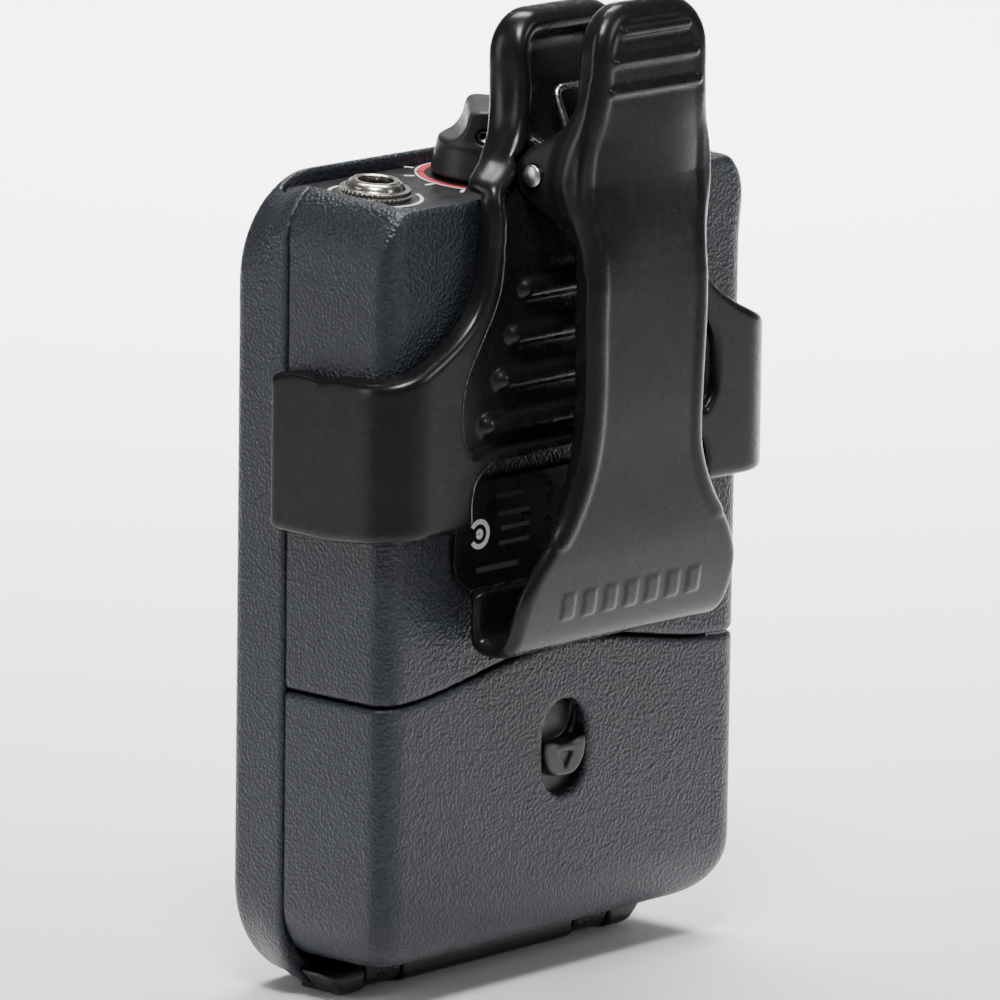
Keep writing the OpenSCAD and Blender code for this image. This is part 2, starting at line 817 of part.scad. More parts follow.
module along_x_at(side, x0, x1) {
  if (side > 0) along_x(x0, x1) children();
  else along_x(-x1, -x0) children();
}

// One C-shaped section round the back of the case.
module arm_plan() {
  outer_r = back_edge_r + arm_t;
  inner_r = back_edge_r + 0.05;
  difference() {
    polygon(mirrored(concat(
      [[arm_x1, arm_end_y]],
      arc([arm_x1 - outer_r, arm_y1 - outer_r], outer_r, 0, 90, 10)
    )));
    polygon(mirrored(concat(
      [[half_w + 0.05, arm_end_y - 1]],
      arc([half_w + 0.05 - inner_r, bracket_y0 - inner_r], inner_r, 0, 90, 10)
    )));
  }
}

// Right half of the lever in front view.
lever_half = concat(
  [[18, 41], [18.7, 43.4], [18.7, 48], [17.9, 50.8], [16, 54], [13, 58], [10.9, 62.4], [10.1, 66],
   [9.9, 72], [10.1, 80], [10, 87], [10.6, 90.4], [11.6, 93.4], [11.9, 96.6], [11.3, 99.4],
   [10.3, 102.4], [9.7, 106], [9.4, 110.4]],
  arc([3.4, 110.5], 6, 0, 90, 8)
);
// Lever in side view: the outer face from the top down, round the hooked lip to its tip.
lever_face = [
  [22.6, 116.5], [23.4, 114.5], [23.8, 111], [23.8, 104], [23.6, 96], [24.1, 87], [23.8, 72], [23.2, 63],
  [22.8, 55], [22.2, 51], [21.2, 47], [19.9, 43.6], [18.4, 42], [16.4, 41.4], [14.3, 41.5], [13.1, 42.3],
  [12.8, 43.6], [12.8, 48.6]
];
lever_inside = [
  [14.4, 49], [14.5, 44.4], [15.4, 43.5], [17.2, 43.7], [18.4, 45.2], [19.4, 48.2], [20.3, 51.8],
  [20.8, 56], [21.2, 63], [21.8, 72], [22.1, 87], [21.6, 96], [21.8, 104], [21.7, 112], [20.9, 116.5]
];
flange_inside = [
  [20, 56], [19.9, 63], [20.2, 72], [20.3, 86], [20, 96], [20, 104], [19.9, 112], [19.6, 116.5]
];

module clip_lever() {
  color(gloss_black) difference() {
    union() {
      intersection() {
        along_x(-30, 30) polygon(concat(lever_face, lever_inside));
        along_y(0, 40) polygon(mirrored(lever_half));
      }
      // Side flanges.
      intersection() {
        along_x(-30, 30) polygon(concat([for (i = [0:8]) lever_face[i]], flange_inside));
        difference() {
          along_y(0, 40) polygon(mirrored(lever_half));
          along_y(0, 40) polygon(mirrored(narrowed(lever_half, lever_t, 110.4)));
        }
      }
      // Hinge ears, within the lever's outline.
      intersection() {
        for (sx = [-1, 1]) along_x_at(sx, ear_x0, ear_x1) union() {
          translate([pin_y, pin_z]) circle(ear_r);
          polygon([
            [pin_y - 0.8, pin_z + ear_r - 0.15], [16.4, 100.6], [18.3, 102], [20.2, 103.7],
            [21.3, 105.4], [22.2, 107.6], [22.6, 107], [22.6, 86], [22.2, 85.8], [21.4, 88.3],
            [19.3, 90.6], [16.8, 92.3], [pin_y - 0.8, pin_z - ear_r + 0.15]
          ]);
        }
        along_y(0, 40) polygon(mirrored(lever_half));
      }
      // Finger ribs.
      for (r = [[113.3, 6], [109.9, 7.4], [106.5, 8]])
        translate([-r[1], 23.6, r[0]]) lying() cylinder(r = 0.6, h = 2 * r[1]);
    }
    translate([-20, pin_y, pin_z]) lying() cylinder(r = pin_r + pin_play, h = 40);
  }
}

module clip_pin() {
  head_r = 1.3;
  color(steel) translate([0, pin_y, pin_z]) {
    translate([-ear_x1 - 0.1, 0, 0]) lying() cylinder(r = pin_r, h = 2 * ear_x1 + 0.2);
    for (sx = [-1, 1]) translate([sx * (ear_x1 + 0.1), 0, 0]) rotate([0, sx * 90, 0])
      cylinder(r1 = head_r, r2 = 0.8, h = 0.5);
  }
}

module clip_spring() {
  wire_r = wire_d / 2;
  coil_r = 2.1;
  coil_x = 4.2;
  coil_l = 3 * wire_d;
  hoop_x = coil_x - wire_d;
  hoop_y = -4.3;
  hoop_z = 8.6;
  color(steel) translate([0, pin_y, pin_z]) {
    for (sx = [-1, 1]) {
      translate([sx * coil_x - coil_l / 2, 0, 0]) lying() difference() {
        cylinder(r = coil_r + wire_r, h = coil_l);
        translate([0, 0, -1]) cylinder(r = coil_r - wire_r, h = coil_l + 2);
      }
      // Leg of the hoop that rests on the bracket's neck.
      rod([sx * hoop_x, -1.6, 1.4], [sx * hoop_x, hoop_y, hoop_z], wire_r);
      // Tail that pushes on the lever's plate.
      rod([sx * (coil_x + 0.8), 1.6, 1.4], [sx * (coil_x + 0.8), 5.3, 6.4], wire_r);
    }
    rod([-hoop_x - wire_r, hoop_y, hoop_z - 0.3], [hoop_x + wire_r, hoop_y, hoop_z - 0.3],
      wire_r + 0.05);
  }
}

// A round bar between two points.
module rod(a, b, r) {
  d = b - a;
  l = norm(d);
  translate(a) rotate([0, acos(d[2] / l), atan2(d[1], d[0])]) cylinder(r = r, h = l, $fn = 16);
}

front_shell();
rear_shell();
base_strip();
top_panel();
rear_label();
battery_tray();
upper_cell();
lower_cell();
contact_springs();
contact_plates();
battery_door();
door_pins();
door_latch();
latch_spring();
main_board();
rf_shield();
board_parts();
crystal();
aerial_coil();
display_window();
display_module();
key_switches();
up_key();
down_key();
jack_body();
jack_nut();
level_pot();
pot_shaft();
pot_nut();
level_knob();
knob_screw();
status_led();
case_screws();
tray_screws();
clip_bracket();
clip_lever();
clip_pin();
clip_spring();
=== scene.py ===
"""Looks of the wireless bodypack transmitter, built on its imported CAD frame.

Lengths in this file are millimetres in the frame's axes, and become metres when a mesh is made.
The moulded pieces are sampled solids: fields of distance to the surface, negative inside.
"""

import json
import math

import bpy
import numpy as np
from mathutils import Matrix, Vector


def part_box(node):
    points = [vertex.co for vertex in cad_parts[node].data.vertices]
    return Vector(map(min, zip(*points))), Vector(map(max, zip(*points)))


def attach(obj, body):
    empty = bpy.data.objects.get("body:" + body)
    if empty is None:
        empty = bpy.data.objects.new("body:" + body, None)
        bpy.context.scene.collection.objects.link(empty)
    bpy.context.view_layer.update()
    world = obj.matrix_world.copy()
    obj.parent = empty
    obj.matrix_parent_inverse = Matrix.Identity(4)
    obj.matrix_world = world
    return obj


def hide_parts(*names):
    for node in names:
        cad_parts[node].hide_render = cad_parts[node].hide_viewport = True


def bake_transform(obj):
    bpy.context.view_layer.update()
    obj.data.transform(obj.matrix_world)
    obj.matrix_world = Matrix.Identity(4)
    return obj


MM = 0.001

# ---- Sizes shared with the CAD source ----

HALF_W = 31.0
BACK_Y = 12.45
FRONT_Y = -BACK_Y
PARTING_Y = -4.25
WALL = 2.0
CASE_H = 95.3
RIM_SLOPE = 1.5 / 24.9
REAR_LIFT = 3.6
ROOF_Z = 89.0
TILT = math.radians(5)
PANEL_Z = 92.6
PANEL_T = 1.4
PIN = (15.6, 96.6)
HINGE = (-1.4, 1.9)
LEVER_T = 2.0
KNOB_AT = (0, -3.2)
JACK_AT = (18.2, -2.6)
LAMP_AT = (-17, -3.2)
GRUB_H = 5.7
INK_LIFT = 0.002


# ---- Sampled solids ----


class Grid:
    """Sample points of a box, from low to high, step apart."""

    def __init__(self, low, high, step):
        self.low = np.array(low, float)
        self.step = step
        count = np.ceil((np.array(high) - self.low) / step).astype(int) + 1
        self.axes = [self.low[i] + step * np.arange(count[i]) for i in range(3)]
        self.x = self.axes[0][:, None, None]
        self.y = self.axes[1][None, :, None]
        self.z = self.axes[2][None, None, :]

    def front(self, points):
        """Distance to an outline drawn in X and Z."""
        return outline(points, self.axes[0], self.axes[2])[:, None, :]

    def side(self, points):
        """Distance to an outline drawn in Y and Z."""
        return outline(points, self.axes[1], self.axes[2])[None, :, :]

    def plan(self, points):
        """Distance to an outline drawn in X and Y."""
        return outline(points, self.axes[0], self.axes[1])[:, :, None]

    def slab(self, axis, low, high):
        """Distance to the space between two planes."""
        v = (self.x, self.y, self.z)[axis]
        return np.maximum(low - v, v - high)

    def capsule(self, a, b, r):
        """Distance to a round-ended bar from a to b."""
        d = np.subtract(b, a)
        wx, wy, wz = self.x - a[0], self.y - a[1], self.z - a[2]
        t = np.clip((wx * d[0] + wy * d[1] + wz * d[2]) / (d @ d), 0, 1)
        return np.sqrt((wx - t * d[0]) ** 2 + (wy - t * d[1]) ** 2 + (wz - t * d[2]) ** 2) - r

    def rod_x(self, y, z, r):
        """Distance to an endless cylinder along X."""
        return np.hypot(self.y - y, self.z - z) - r


def outline(points, u, v):
    """Signed distance to a closed outline over the grid of u by v."""
    p = np.asarray(points, float)
    uu, vv = np.meshgrid(u, v, indexing="ij")
    best = np.full(uu.shape, 1e9)
    inside = np.zeros(uu.shape, bool)
    for (ax, ay), (bx, by) in zip(p, np.roll(p, -1, axis=0)):
        ex, ey = bx - ax, by - ay
        if ex * ex + ey * ey < 1e-12:
            continue
        wx, wy = uu - ax, vv - ay
        t = np.clip((wx * ex + wy * ey) / (ex * ex + ey * ey), 0, 1)
        best = np.minimum(best, (wx - ex * t) ** 2 + (wy - ey * t) ** 2)
        if ey:
            inside ^= ((ay > vv) != (by > vv)) & (uu < ex * wy / ey + ax)
    return np.where(inside, -1, 1) * np.sqrt(best)


def meet(a, b, r=0.0):
    """What two solids share, with their common edge rounded to r."""
    if np.isscalar(r) and r == 0:
        return np.maximum(a, b)
    return np.minimum(np.maximum(a, b), -r) + np.hypot(np.maximum(a + r, 0), np.maximum(b + r, 0))


def join(a, b, r=0.0):
    """Two solids together, with a fillet of r between them."""
    return -meet(-a, -b, r)


def cut(a, b, r=0.0):
    """The first solid without the second, with the edge rounded to r."""
    return meet(a, -b, r)


CORNERS = np.array([(i, j, k) for i in (0, 1) for j in (0, 1) for k in (0, 1)])
CELL_EDGES = [
    (a, b) for a in range(8) for b in range(a + 1, 8) if np.abs(CORNERS[a] - CORNERS[b]).sum() == 1
]


def sample(field, p):
    """Values of a sampled field at points p, counted in steps."""
    i = np.clip(np.floor(p).astype(int), 0, np.array(field.shape) - 2)
    t = p - i
    total = np.zeros(len(p))
    for c in CORNERS:
        weight = np.prod(np.where(c, t, 1 - t), axis=1)
        total += weight * field[tuple((i + c).T)]
    return total


def skin(field, grid):
    """The surface of a sampled solid as points, four-sided faces and normals."""
    f = np.broadcast_to(field, tuple(len(a) for a in grid.axes)).astype(np.float32)
    inside = f < 0
    n = f.shape
    count = np.zeros([k - 1 for k in n], np.int8)
    for i, j, k in CORNERS:
        count += inside[i : n[0] - 1 + i, j : n[1] - 1 + j, k : n[2] - 1 + k]
    cell = np.argwhere((count > 0) & (count < 8))
    number = np.full(count.shape, -1, np.int64)
    number[tuple(cell.T)] = np.arange(len(cell))
    value = [f[tuple((cell + c).T)] for c in CORNERS]
    total, crossings = np.zeros((len(cell), 3)), np.zeros(len(cell))
    for a, b in CELL_EDGES:
        crosses = (value[a] < 0) != (value[b] < 0)
        span = np.where(crosses, value[a] - value[b], 1)
        t = np.where(crosses, value[a] / span, 0)[:, None]
        total += (CORNERS[a] + t * (CORNERS[b] - CORNERS[a])) * crosses[:, None]
        crossings += crosses
    start = cell + total / crossings[:, None]
    slopes = np.gradient(f)
    p = start.copy()
    for _ in range(2):
        g = np.stack([sample(s, p) for s in slopes], 1)
        p -= (sample(f, p) / np.maximum((g * g).sum(1), 0.05 * grid.step**2))[:, None] * g
        p = start + np.clip(p - start, -0.4, 0.4)
    g = np.stack([sample(s, p) for s in slopes], 1)
    normals = g / np.maximum(np.linalg.norm(g, axis=1), 1e-9)[:, None]
    faces = []
    for axis in range(3):
        u, v = (axis + 1) % 3, (axis + 2) % 3
        near, past = [slice(None)] * 3, [slice(None)] * 3
        near[axis], past[axis] = slice(0, -1), slice(1, None)
        edge = np.argwhere(inside[tuple(near)] != inside[tuple(past)])
        edge = edge[(edge[:, u] > 0) & (edge[:, v] > 0) & (edge[:, u] < n[u] - 1) & (edge[:, v] < n[v] - 1)]
        low_inside = inside[tuple(edge.T)]
        quad = []
        for du, dv in ((1, 1), (0, 1), (0, 0), (1, 0)):
            c = edge.copy()
            c[:, u] -= du
            c[:, v] -= dv
            quad.append(number[tuple(c.T)])
        quad = np.stack(quad, 1)
        faces.append(np.where(low_inside[:, None], quad, quad[:, ::-1]))
    return grid.low + p * grid.step, np.concatenate(faces), normals


def mesh_piece(name, points, faces, normals=None):
    """A smooth mesh object from points in millimetres."""
    mesh = bpy.data.meshes.new(name)
    faces = faces.tolist() if isinstance(faces, np.ndarray) else faces
    mesh.from_pydata((np.asarray(points) * MM).tolist(), [], faces)
    mesh.shade_smooth()
    if normals is not None:
        mesh.normals_split_custom_set_from_vertices(normals.tolist())
    obj = bpy.data.objects.new(name, mesh)
    bpy.context.scene.collection.objects.link(obj)
    return obj


def solid_piece(name, field, grid, place=None):
    """A mesh object of a sampled solid, moved by a rotation and a shift where it has them."""
    points, faces, normals = skin(field, grid)
    if place is not None:
        turn, shift = place
        points, normals = points @ turn.T + shift, normals @ turn.T
    return mesh_piece(name, points, faces, normals)


# ---- Outlines ----


def arc(cx, cy, r, a0, a1, n=10):
    """Points of an arc, angles in degrees."""
    a = np.radians(np.linspace(a0, a1, n + 1))
    return [(cx + r * math.cos(t), cy + r * math.sin(t)) for t in a]


def mirrored(half):
    """A closed outline from its right half."""
    return list(half) + [(-x, y) for x, y in reversed(half)]


def eased(points, n=6):
    """An open line of points drawn as a smooth curve through them."""
    p = np.asarray(points, float)
    p = np.vstack([2 * p[0] - p[1], p, 2 * p[-1] - p[-2]])
    t = np.linspace(0, 1, n, endpoint=False)[:, None]
    parts = []
    for a, b, c, d in zip(p, p[1:], p[2:], p[3:]):
        square, cube = 2 * a - 5 * b + 4 * c - d, 3 * b - a - 3 * c + d
        parts.append(0.5 * (2 * b + (c - a) * t + square * t**2 + cube * t**3))
    return [tuple(q) for q in np.vstack(parts + [p[-2:-1]])]


def face_outline(bottom, corner, inset=0.0, top_corner=7):
    """The case seen from the front."""
    w, r, top_r = HALF_W - inset, corner - inset, top_corner - inset
    top = CASE_H + 0.2 - inset
    return mirrored(
        arc(w - r, bottom + inset + r, r, -90, 0, 16) + arc(w - top_r, top - top_r, top_r, 0, 90, 16)
    )


def side_outline(bottom, under, inset=0.0):
    """The case seen from the side, below a top that lies above the rims."""
    y0, y1, r = FRONT_Y + inset, BACK_Y - inset, under - inset
    return [(y0, bottom + inset)] + arc(y1 - r, bottom + inset + r, r, -90, 0, 16) + [(y1, 120), (y0, 120)]


def slab_outline(w, h, r, cx=0.0, cy=0.0):
    """A rounded rectangle."""
    half = arc(w / 2 - r, -h / 2 + r, r, -90, 0, 8) + arc(w / 2 - r, h / 2 - r, r, 0, 90, 8)
    return [(x + cx, y + cy) for x, y in mirrored(half)]


def wave_z(x):
    """Height of the door's edge at a distance x from the middle."""
    return 36.8 + 3.6 * (1 + np.cos(np.pi * np.minimum(np.abs(x), 29) / 29)) / 2


def rim_field(g):
    """Distance above the plane of the rims."""
    return (g.z - CASE_H + RIM_SLOPE * (g.y - FRONT_Y)) / math.hypot(1, RIM_SLOPE)


def panel_height(g):
    """Distance above the tilted panel's surface."""
    return (g.z - PANEL_Z) * math.cos(TILT) + g.y * math.sin(TILT)


# ---- Case ----


def front_solid(g, inset):
    """Front shell's full block. Its lower corners round more towards the face."""
    t = np.clip((g.y - FRONT_Y - 1) / (PARTING_Y - FRONT_Y - 1), 0, 1)
    t = t * t * (3 - 2 * t)
    face = (1 - t) * g.front(face_outline(0, 13, inset, 12)) + t * g.front(face_outline(0, 9.5, inset))
    return meet(face, FRONT_Y + inset - g.y, 1.5)


def rear_solid(g, inset):
    """Rear shell and door as one block, with the big round under the back."""
    r = np.interp(g.z, [0, 84, 92.5], [3.5, 3.5, 1.6])
    face = g.front(face_outline(REAR_LIFT, 8, inset))
    block = meet(face, g.y - BACK_Y + inset, r)
    return meet(block, g.side(side_outline(REAR_LIFT, 9, inset)), 3.0)


def open_case(g, block, inner):
    """A shell from its outer and inner blocks, with the opening for the panel."""
    inner = np.maximum(inner, g.z - ROOF_Z)
    pocket = np.maximum(g.plan(slab_outline(53.1, 21.5, 3)), -panel_height(g) - PANEL_T - 0.15)
    hatch = np.maximum(g.plan(slab_outline(49, 17.6, 2)), ROOF_Z - 2 - g.z)
    shell = meet(block, rim_field(g), 0.45)
    return cut(cut(cut(shell, inner), pocket, 0.3), hatch)


def screw_posts(g, solid, y0, y1):
    """Adds the two screw posts between the depths y0 and y1."""
    for x in (-25.6, 25.6):
        radius = np.hypot(g.x - x, g.z - 66)
        post = np.maximum(radius - 2.6, g.slab(1, y0, y1))
        solid = cut(join(solid, post, 0.3), np.maximum(radius - 1.4, g.slab(1, y0 - 0.1, y1 + 9)))
    return solid


def front_shell():
    g = Grid((-32, -13.6, -1.2), (32, -3.2, 97), 0.42)
    solid = open_case(g, front_solid(g, 0), front_solid(g, WALL))
    solid = meet(solid, g.y - PARTING_Y, np.interp(g.z, [0, 87, 91], [0.35, 0.35, 0.1]))
    solid = screw_posts(g, solid, -10.6, PARTING_Y)
    for x in (-14, 14):
        solid = join(solid, np.maximum(np.hypot(g.x - x, g.z - 21.15) - 2.6, g.slab(1, -10.6, -7.6)), 0.3)
    window = g.front(slab_outline(30, 14, 1.5, cy=66))
    solid = cut(solid, np.maximum(window, g.y - FRONT_Y - 1), 0.25)
    solid = cut(solid, np.maximum(window + 2, g.y - FRONT_Y - 5))
    for x in (-8, 8):
        solid = cut(solid, np.maximum(g.front(slab_outline(9, 5, 1.6, x, 50)), g.y - FRONT_Y - 5), 0.25)
    seat = np.maximum(np.maximum(g.slab(0, -24.65, 24.65), g.z - 1.6), g.y * -1 + PARTING_Y - 3)
    return solid_piece("front_shell_moulding", cut(solid, seat), g)


def rear_shell():
    g = Grid((-32, -5.4, 34.5), (32, 13.6, 97), 0.42)
    solid = open_case(g, rear_solid(g, 0), rear_solid(g, WALL))
    gap, edge_r = np.interp(g.z, [87, 91], [0.14, 0.03]), np.interp(g.z, [87, 91], [0.35, 0.1])
    solid = meet(solid, PARTING_Y + gap - g.y, edge_r)
    solid = meet(solid, (wave_z(g.x) + 0.17 - g.z) * 0.96, 0.5)
    solid = cut(solid, np.maximum(g.front(label_outline(0.2)), BACK_Y - 0.4 - g.y), 0.15)
    for x in (-25.6, 25.6):
        radius = np.hypot(g.x - x, g.z - 66)
        solid = join(solid, np.maximum(radius - 2.6, g.slab(1, PARTING_Y + 0.12, 11)), 0.3)
        solid = cut(solid, np.maximum(radius - 2.1, 9.5 - g.y), 0.2)
    return solid_piece("rear_shell_moulding", solid, g)


def battery_door():
    g = Grid((-32, -5.4, -0.6), (32, 13.6, 42), 0.42)
    solid = cut(rear_solid(g, 0), rear_solid(g, WALL))
    solid = meet(solid, PARTING_Y + 0.12 - g.y, 0.35)
    solid = meet(solid, (g.z - wave_z(g.x) + 0.17) * 0.96, 0.5)
    y, z = HINGE
    for x in (-18, 18):
        knuckle = join(g.rod_x(y, z, 1.5), np.maximum(g.slab(1, y - 1.5, y + 1.5), g.slab(2, z, 4.5)), 0)
        knuckle = meet(knuckle, g.slab(0, x - 3, x + 3), 0.25)
        solid = join(solid, knuckle, 0.4)
        solid = cut(solid, np.maximum(g.rod_x(y, z, 0.8), g.slab(0, x - 4, x + 4)))
    for x in (-5.8, 5.8):
        rail = np.maximum(np.maximum(g.slab(0, x - 0.5, x + 0.5), g.slab(1, 8.7, 11)), g.slab(2, 18, 33))
        solid = join(solid, rail, 0.2)
    slot = g.front(slab_outline(7.5, 11.3, 3.7, cy=27.65))
    return solid_piece("battery_door_moulding", cut(solid, np.maximum(slot, 6 - g.y), 0.55), g)


def base_strip():
    g = Grid((-29.6, -8.2, -1), (29.6, 1.4, 4.6), 0.3)
    y, z = HINGE
    side = [(-7.05, 0), (-0.6, 0), (0.2, 0.8)] + arc(y, z, 1.6, 0, 90) + [(y, 3.45), (-7.05, 3.45)]
    ends = g.front(mirrored([(24.5, 0), (28.2, 3.45)]))
    solid = meet(meet(g.side(side), ends, 0.5), PARTING_Y + 0.15 - g.y, 0.2)
    foot = np.maximum(np.maximum(g.slab(0, -24.5, 24.5), g.slab(2, 0, 1.45)), g.slab(1, -7.05, -3))
    solid = join(solid, foot, 0)
    for x in (-18, 18):
        solid = cut(solid, np.maximum(g.slab(0, x - 3.3, x + 3.3), y - 1.9 - g.y), 0.2)
    return solid_piece("base_strip_moulding", solid, g)


def door_latch():
    g = Grid((-6, 8, 16.6), (6, 12.8, 41), 0.2)
    plate = meet(g.front(mirrored([(5, 17.5), (5, 35.5), (2.5, 35.5), (2.5, 40)])), g.slab(1, 8.7, 9.9), 0.2)
    tab = meet(g.front(slab_outline(7, 12.6, 3.5, cy=30.3)), g.slab(2, 24.2, 28.6), 0.3)
    solid = join(plate, meet(tab, g.slab(1, 9.5, 11.75), 0.3), 0.2)
    hollow = np.maximum(g.front(slab_outline(6.9, 6.6, 3, cy=31.4)), 9.3 - g.y)
    solid = cut(solid, hollow, 0.15)
    solid = cut(solid, g.capsule((-2.2, 11.75, 27.9), (2.2, 11.75, 27.9), 0.14))
    arrow = np.maximum(g.front([(-1.2, 27.1), (1.2, 27.1), (0, 25.1)]), 11.35 - g.y)
    return solid_piece("door_latch_moulding", cut(solid, arrow), g)


# ---- Belt clip ----

BRACKET_HALF = [
    (34, 50), (34, 74.5), (31.5, 74.9), (27.6, 76.3), (23.3, 78.6), (20.2, 81.2), (18.3, 84.6), (17.3, 89),
    (17.1, 92.8),
]
RECESS_HALF = [(20, 65.5), (21.5, 68), (21.2, 73.5), (18.6, 78), (16.2, 82), (15.1, 86), (14.8, 96)]
NECK_HALF = [
    (17.1, 80), (17.1, 94.2), (16.3, 95.9), (13.3, 97.8), (11.6, 99.6), (10.6, 101), (9.7, 103.2), (9.3, 106),
    (9.3, 109),
] + arc(4.8, 109.4, 4.5, 10, 90, 10)
NECK_FRONT = [(12.5, 86), (12.5, 94.7), (10.5, 94.9), (8.7, 98.2), (7.4, 103), (7, 108), (7.2, 115)]
NECK_BACK = [
    (9, 115), (9.1, 108), (9.6, 103.5), (10.7, 99.5), (11.9, 96.9), (12.9, 94.9), (13.9, 93.2), (13.9, 86),
]
NECK_RIM = [
    (10.3, 115), (11.8, 108), (12.2, 104), (12.7, 100.5), (13.7, 97.3), (14.8, 94.4), (15.1, 92), (15.1, 80),
]
RIBS = ((68.2, 18.0), (73.2, 15.6), (78.2, 13.7), (83.3, 11.7))


def arm_section(g):
    """The bracket seen from above: a C round the back of the case."""
    outer = mirrored([(33.3, -4.8)] + arc(27.5, 9.35, 5.8, 0, 90, 12))
    inner = mirrored([(31.05, -9)] + arc(27.5, 8.95, 3.55, 0, 90, 12))
    return g.plan(outer), g.plan(inner)


def bracket_body(g):
    """Back plate and side arms."""
    outer, inner = arm_section(g)
    front = g.front(mirrored([(34, 50)] + eased(BRACKET_HALF[1:])))
    side = g.side([
        (-6, 55.9), (4, 55.6), (16.5, 56.8), (16.5, 96), (9, 96), (6.4, 75.4), (3, 74.3), (-1.4, 74.8), (-6, 73.5),
    ])
    body = meet(meet(outer, front, 1.0), side, 0.9)
    body = meet(body, -4.8 - g.y, 0.9)
    recess = np.maximum(g.front(mirrored(eased(RECESS_HALF))), 13.9 - g.y)
    body = cut(body, recess, 0.8)
    window = g.front(mirrored([(20, 50), (20, 60), (19.6, 61.6), (18.6, 62.9), (17, 63.7), (15, 64)]))
    return cut(cut(body, window, 0.7), inner, 0.15)


def bracket_neck(g):
    """Neck that hooks over the rear rim, with its raised edges and finger pad."""
    outline_half = [NECK_HALF[0]] + eased(NECK_HALF[1:9]) + NECK_HALF[9:]
    wide = g.front(mirrored(outline_half))
    floor = meet(g.side(NECK_FRONT[:3] + eased(NECK_FRONT[3:]) + eased(NECK_BACK)), wide, 0.8)
    rim = meet(g.side(NECK_FRONT[:3] + eased(NECK_FRONT[3:]) + eased(NECK_RIM)), wide, 1.0)
    rim = meet(rim, -wide - 2.1, 1.2)
    return join(floor, np.maximum(rim, 89.5 - g.z), np.interp(g.z, [94, 106], [0.8, 2.2]))


def clip_bracket():
    g = Grid((-34.5, -6, 54.4), (34.5, 17, 115.3), 0.36)
    solid = join(bracket_body(g), bracket_neck(g), 0.5)
    for z, half in RIBS:
        rib = g.capsule((-half + 1.2, 13.75, z), (half - 1.2, 13.75, z), 1.25)
        solid = join(solid, np.maximum(rib, 13.2 - g.y), 0.5)
    root = g.side([(15.6, 99.3), (9.6, 101.5), (11.8, 95.6), (12.9, 94.2), (15.6, 93.9)])
    lug = join(g.rod_x(*PIN, 2.7), root, 0.6)
    for x in (-7.9, 7.9):
        solid = join(solid, meet(lug, g.slab(0, x - 1, x + 1), 0.35), 0.7)
    solid = cut(solid, np.maximum(g.rod_x(*PIN, 1.05), g.slab(0, -12, 12)))
    for x in (-10.4, 10.4):
        solid = cut(solid, np.maximum(g.rod_x(*PIN, 3.3), g.slab(0, x - 1.4, x + 1.4)), 0.3)
    return solid_piece("clip_bracket_moulding", solid, g)


LEVER_HALF = [
    (18, 41), (18.7, 43.4), (18.7, 48), (17.9, 50.8), (16, 54), (13, 58), (10.9, 62.4), (10.1, 66),
    (9.9, 72), (10.1, 80), (10, 87), (10.6, 90.4), (11.4, 93.4), (11.5, 96.6), (11.1, 99.4),
    (10.3, 102.4), (9.7, 106), (9.4, 110.4),
]
LEVER_FACE = [
    (22.6, 117), (23.3, 114.5), (23.7, 111), (23.7, 104), (23.6, 96), (24.0, 87), (23.8, 72), (23.2, 63),
    (22.8, 55), (22.2, 51), (21.2, 47), (19.9, 43.6), (18.4, 42), (16.4, 41.4), (14.3, 41.5), (13.1, 42.3),
    (12.8, 43.6), (12.8, 48.9),
]
LEVER_INSIDE = [
    (14.3, 49.0), (14.5, 44.4), (15.4, 43.5), (17.2, 43.7), (18.4, 45.2), (19.4, 48.2), (20.3, 51.8),
    (20.8, 56), (21.2, 63), (21.8, 72), (22.0, 87), (21.6, 96), (21.8, 104), (21.7, 112), (20.9, 117),
]
FLANGE_INSIDE = [(20, 56), (19.9, 63), (20.2, 72), (20.3, 86), (20, 96), (20, 104), (19.9, 112), (19.6, 117)]
EAR = [
    (14.8, 99.4), (16.4, 100.6), (18.3, 102), (20.2, 103.7), (21.3, 105.4), (22.2, 107.6), (22.6, 107),
    (22.6, 86), (22.2, 85.8), (21.4, 88.3), (19.3, 90.6), (16.8, 92.3), (14.8, 93.8),
]
CROWN = ((60, 84, 87, 91, 96, 101, 105, 110, 120), (0.0, 0.0, 0.3, 0.9, 1.5, 1.2, 0.4, 0.1, 0.1))


def lowered(field, g, drop):
    """A field in Y and Z whose solid is lowered towards the case by drop, given over X and Z."""
    at = (g.y + drop - g.low[1]) / g.step
    at = np.clip(at, 0, field.shape[1] - 1.001)
    i = at.astype(int)
    k = np.broadcast_to(np.arange(field.shape[2])[None, None, :], at.shape)
    flat = field[0]
    return flat[i, k] * (i + 1 - at) + flat[i + 1, k] * (at - i)


def lever_outline(g):
    """The lever seen from behind."""
    return g.front(mirrored(eased(LEVER_HALF) + arc(3.4, 110.5, 6, 8, 90, 8)))


def lever_plate(g):
    """The plate with its hooked lip and turned-in flanges."""
    wide = lever_outline(g)
    drop = np.interp(g.z, *CROWN) * (np.abs(g.x) / 10) ** 2.5
    plate = lowered(g.side(eased(LEVER_FACE) + eased(LEVER_INSIDE)), g, drop)
    plate = meet(plate, wide, 1.5)
    flange = lowered(g.side(eased(LEVER_FACE[:9]) + FLANGE_INSIDE), g, drop)
    flange = meet(meet(flange, wide, 1.5), -wide - LEVER_T, 0.4)
    return join(plate, flange, 0.7)


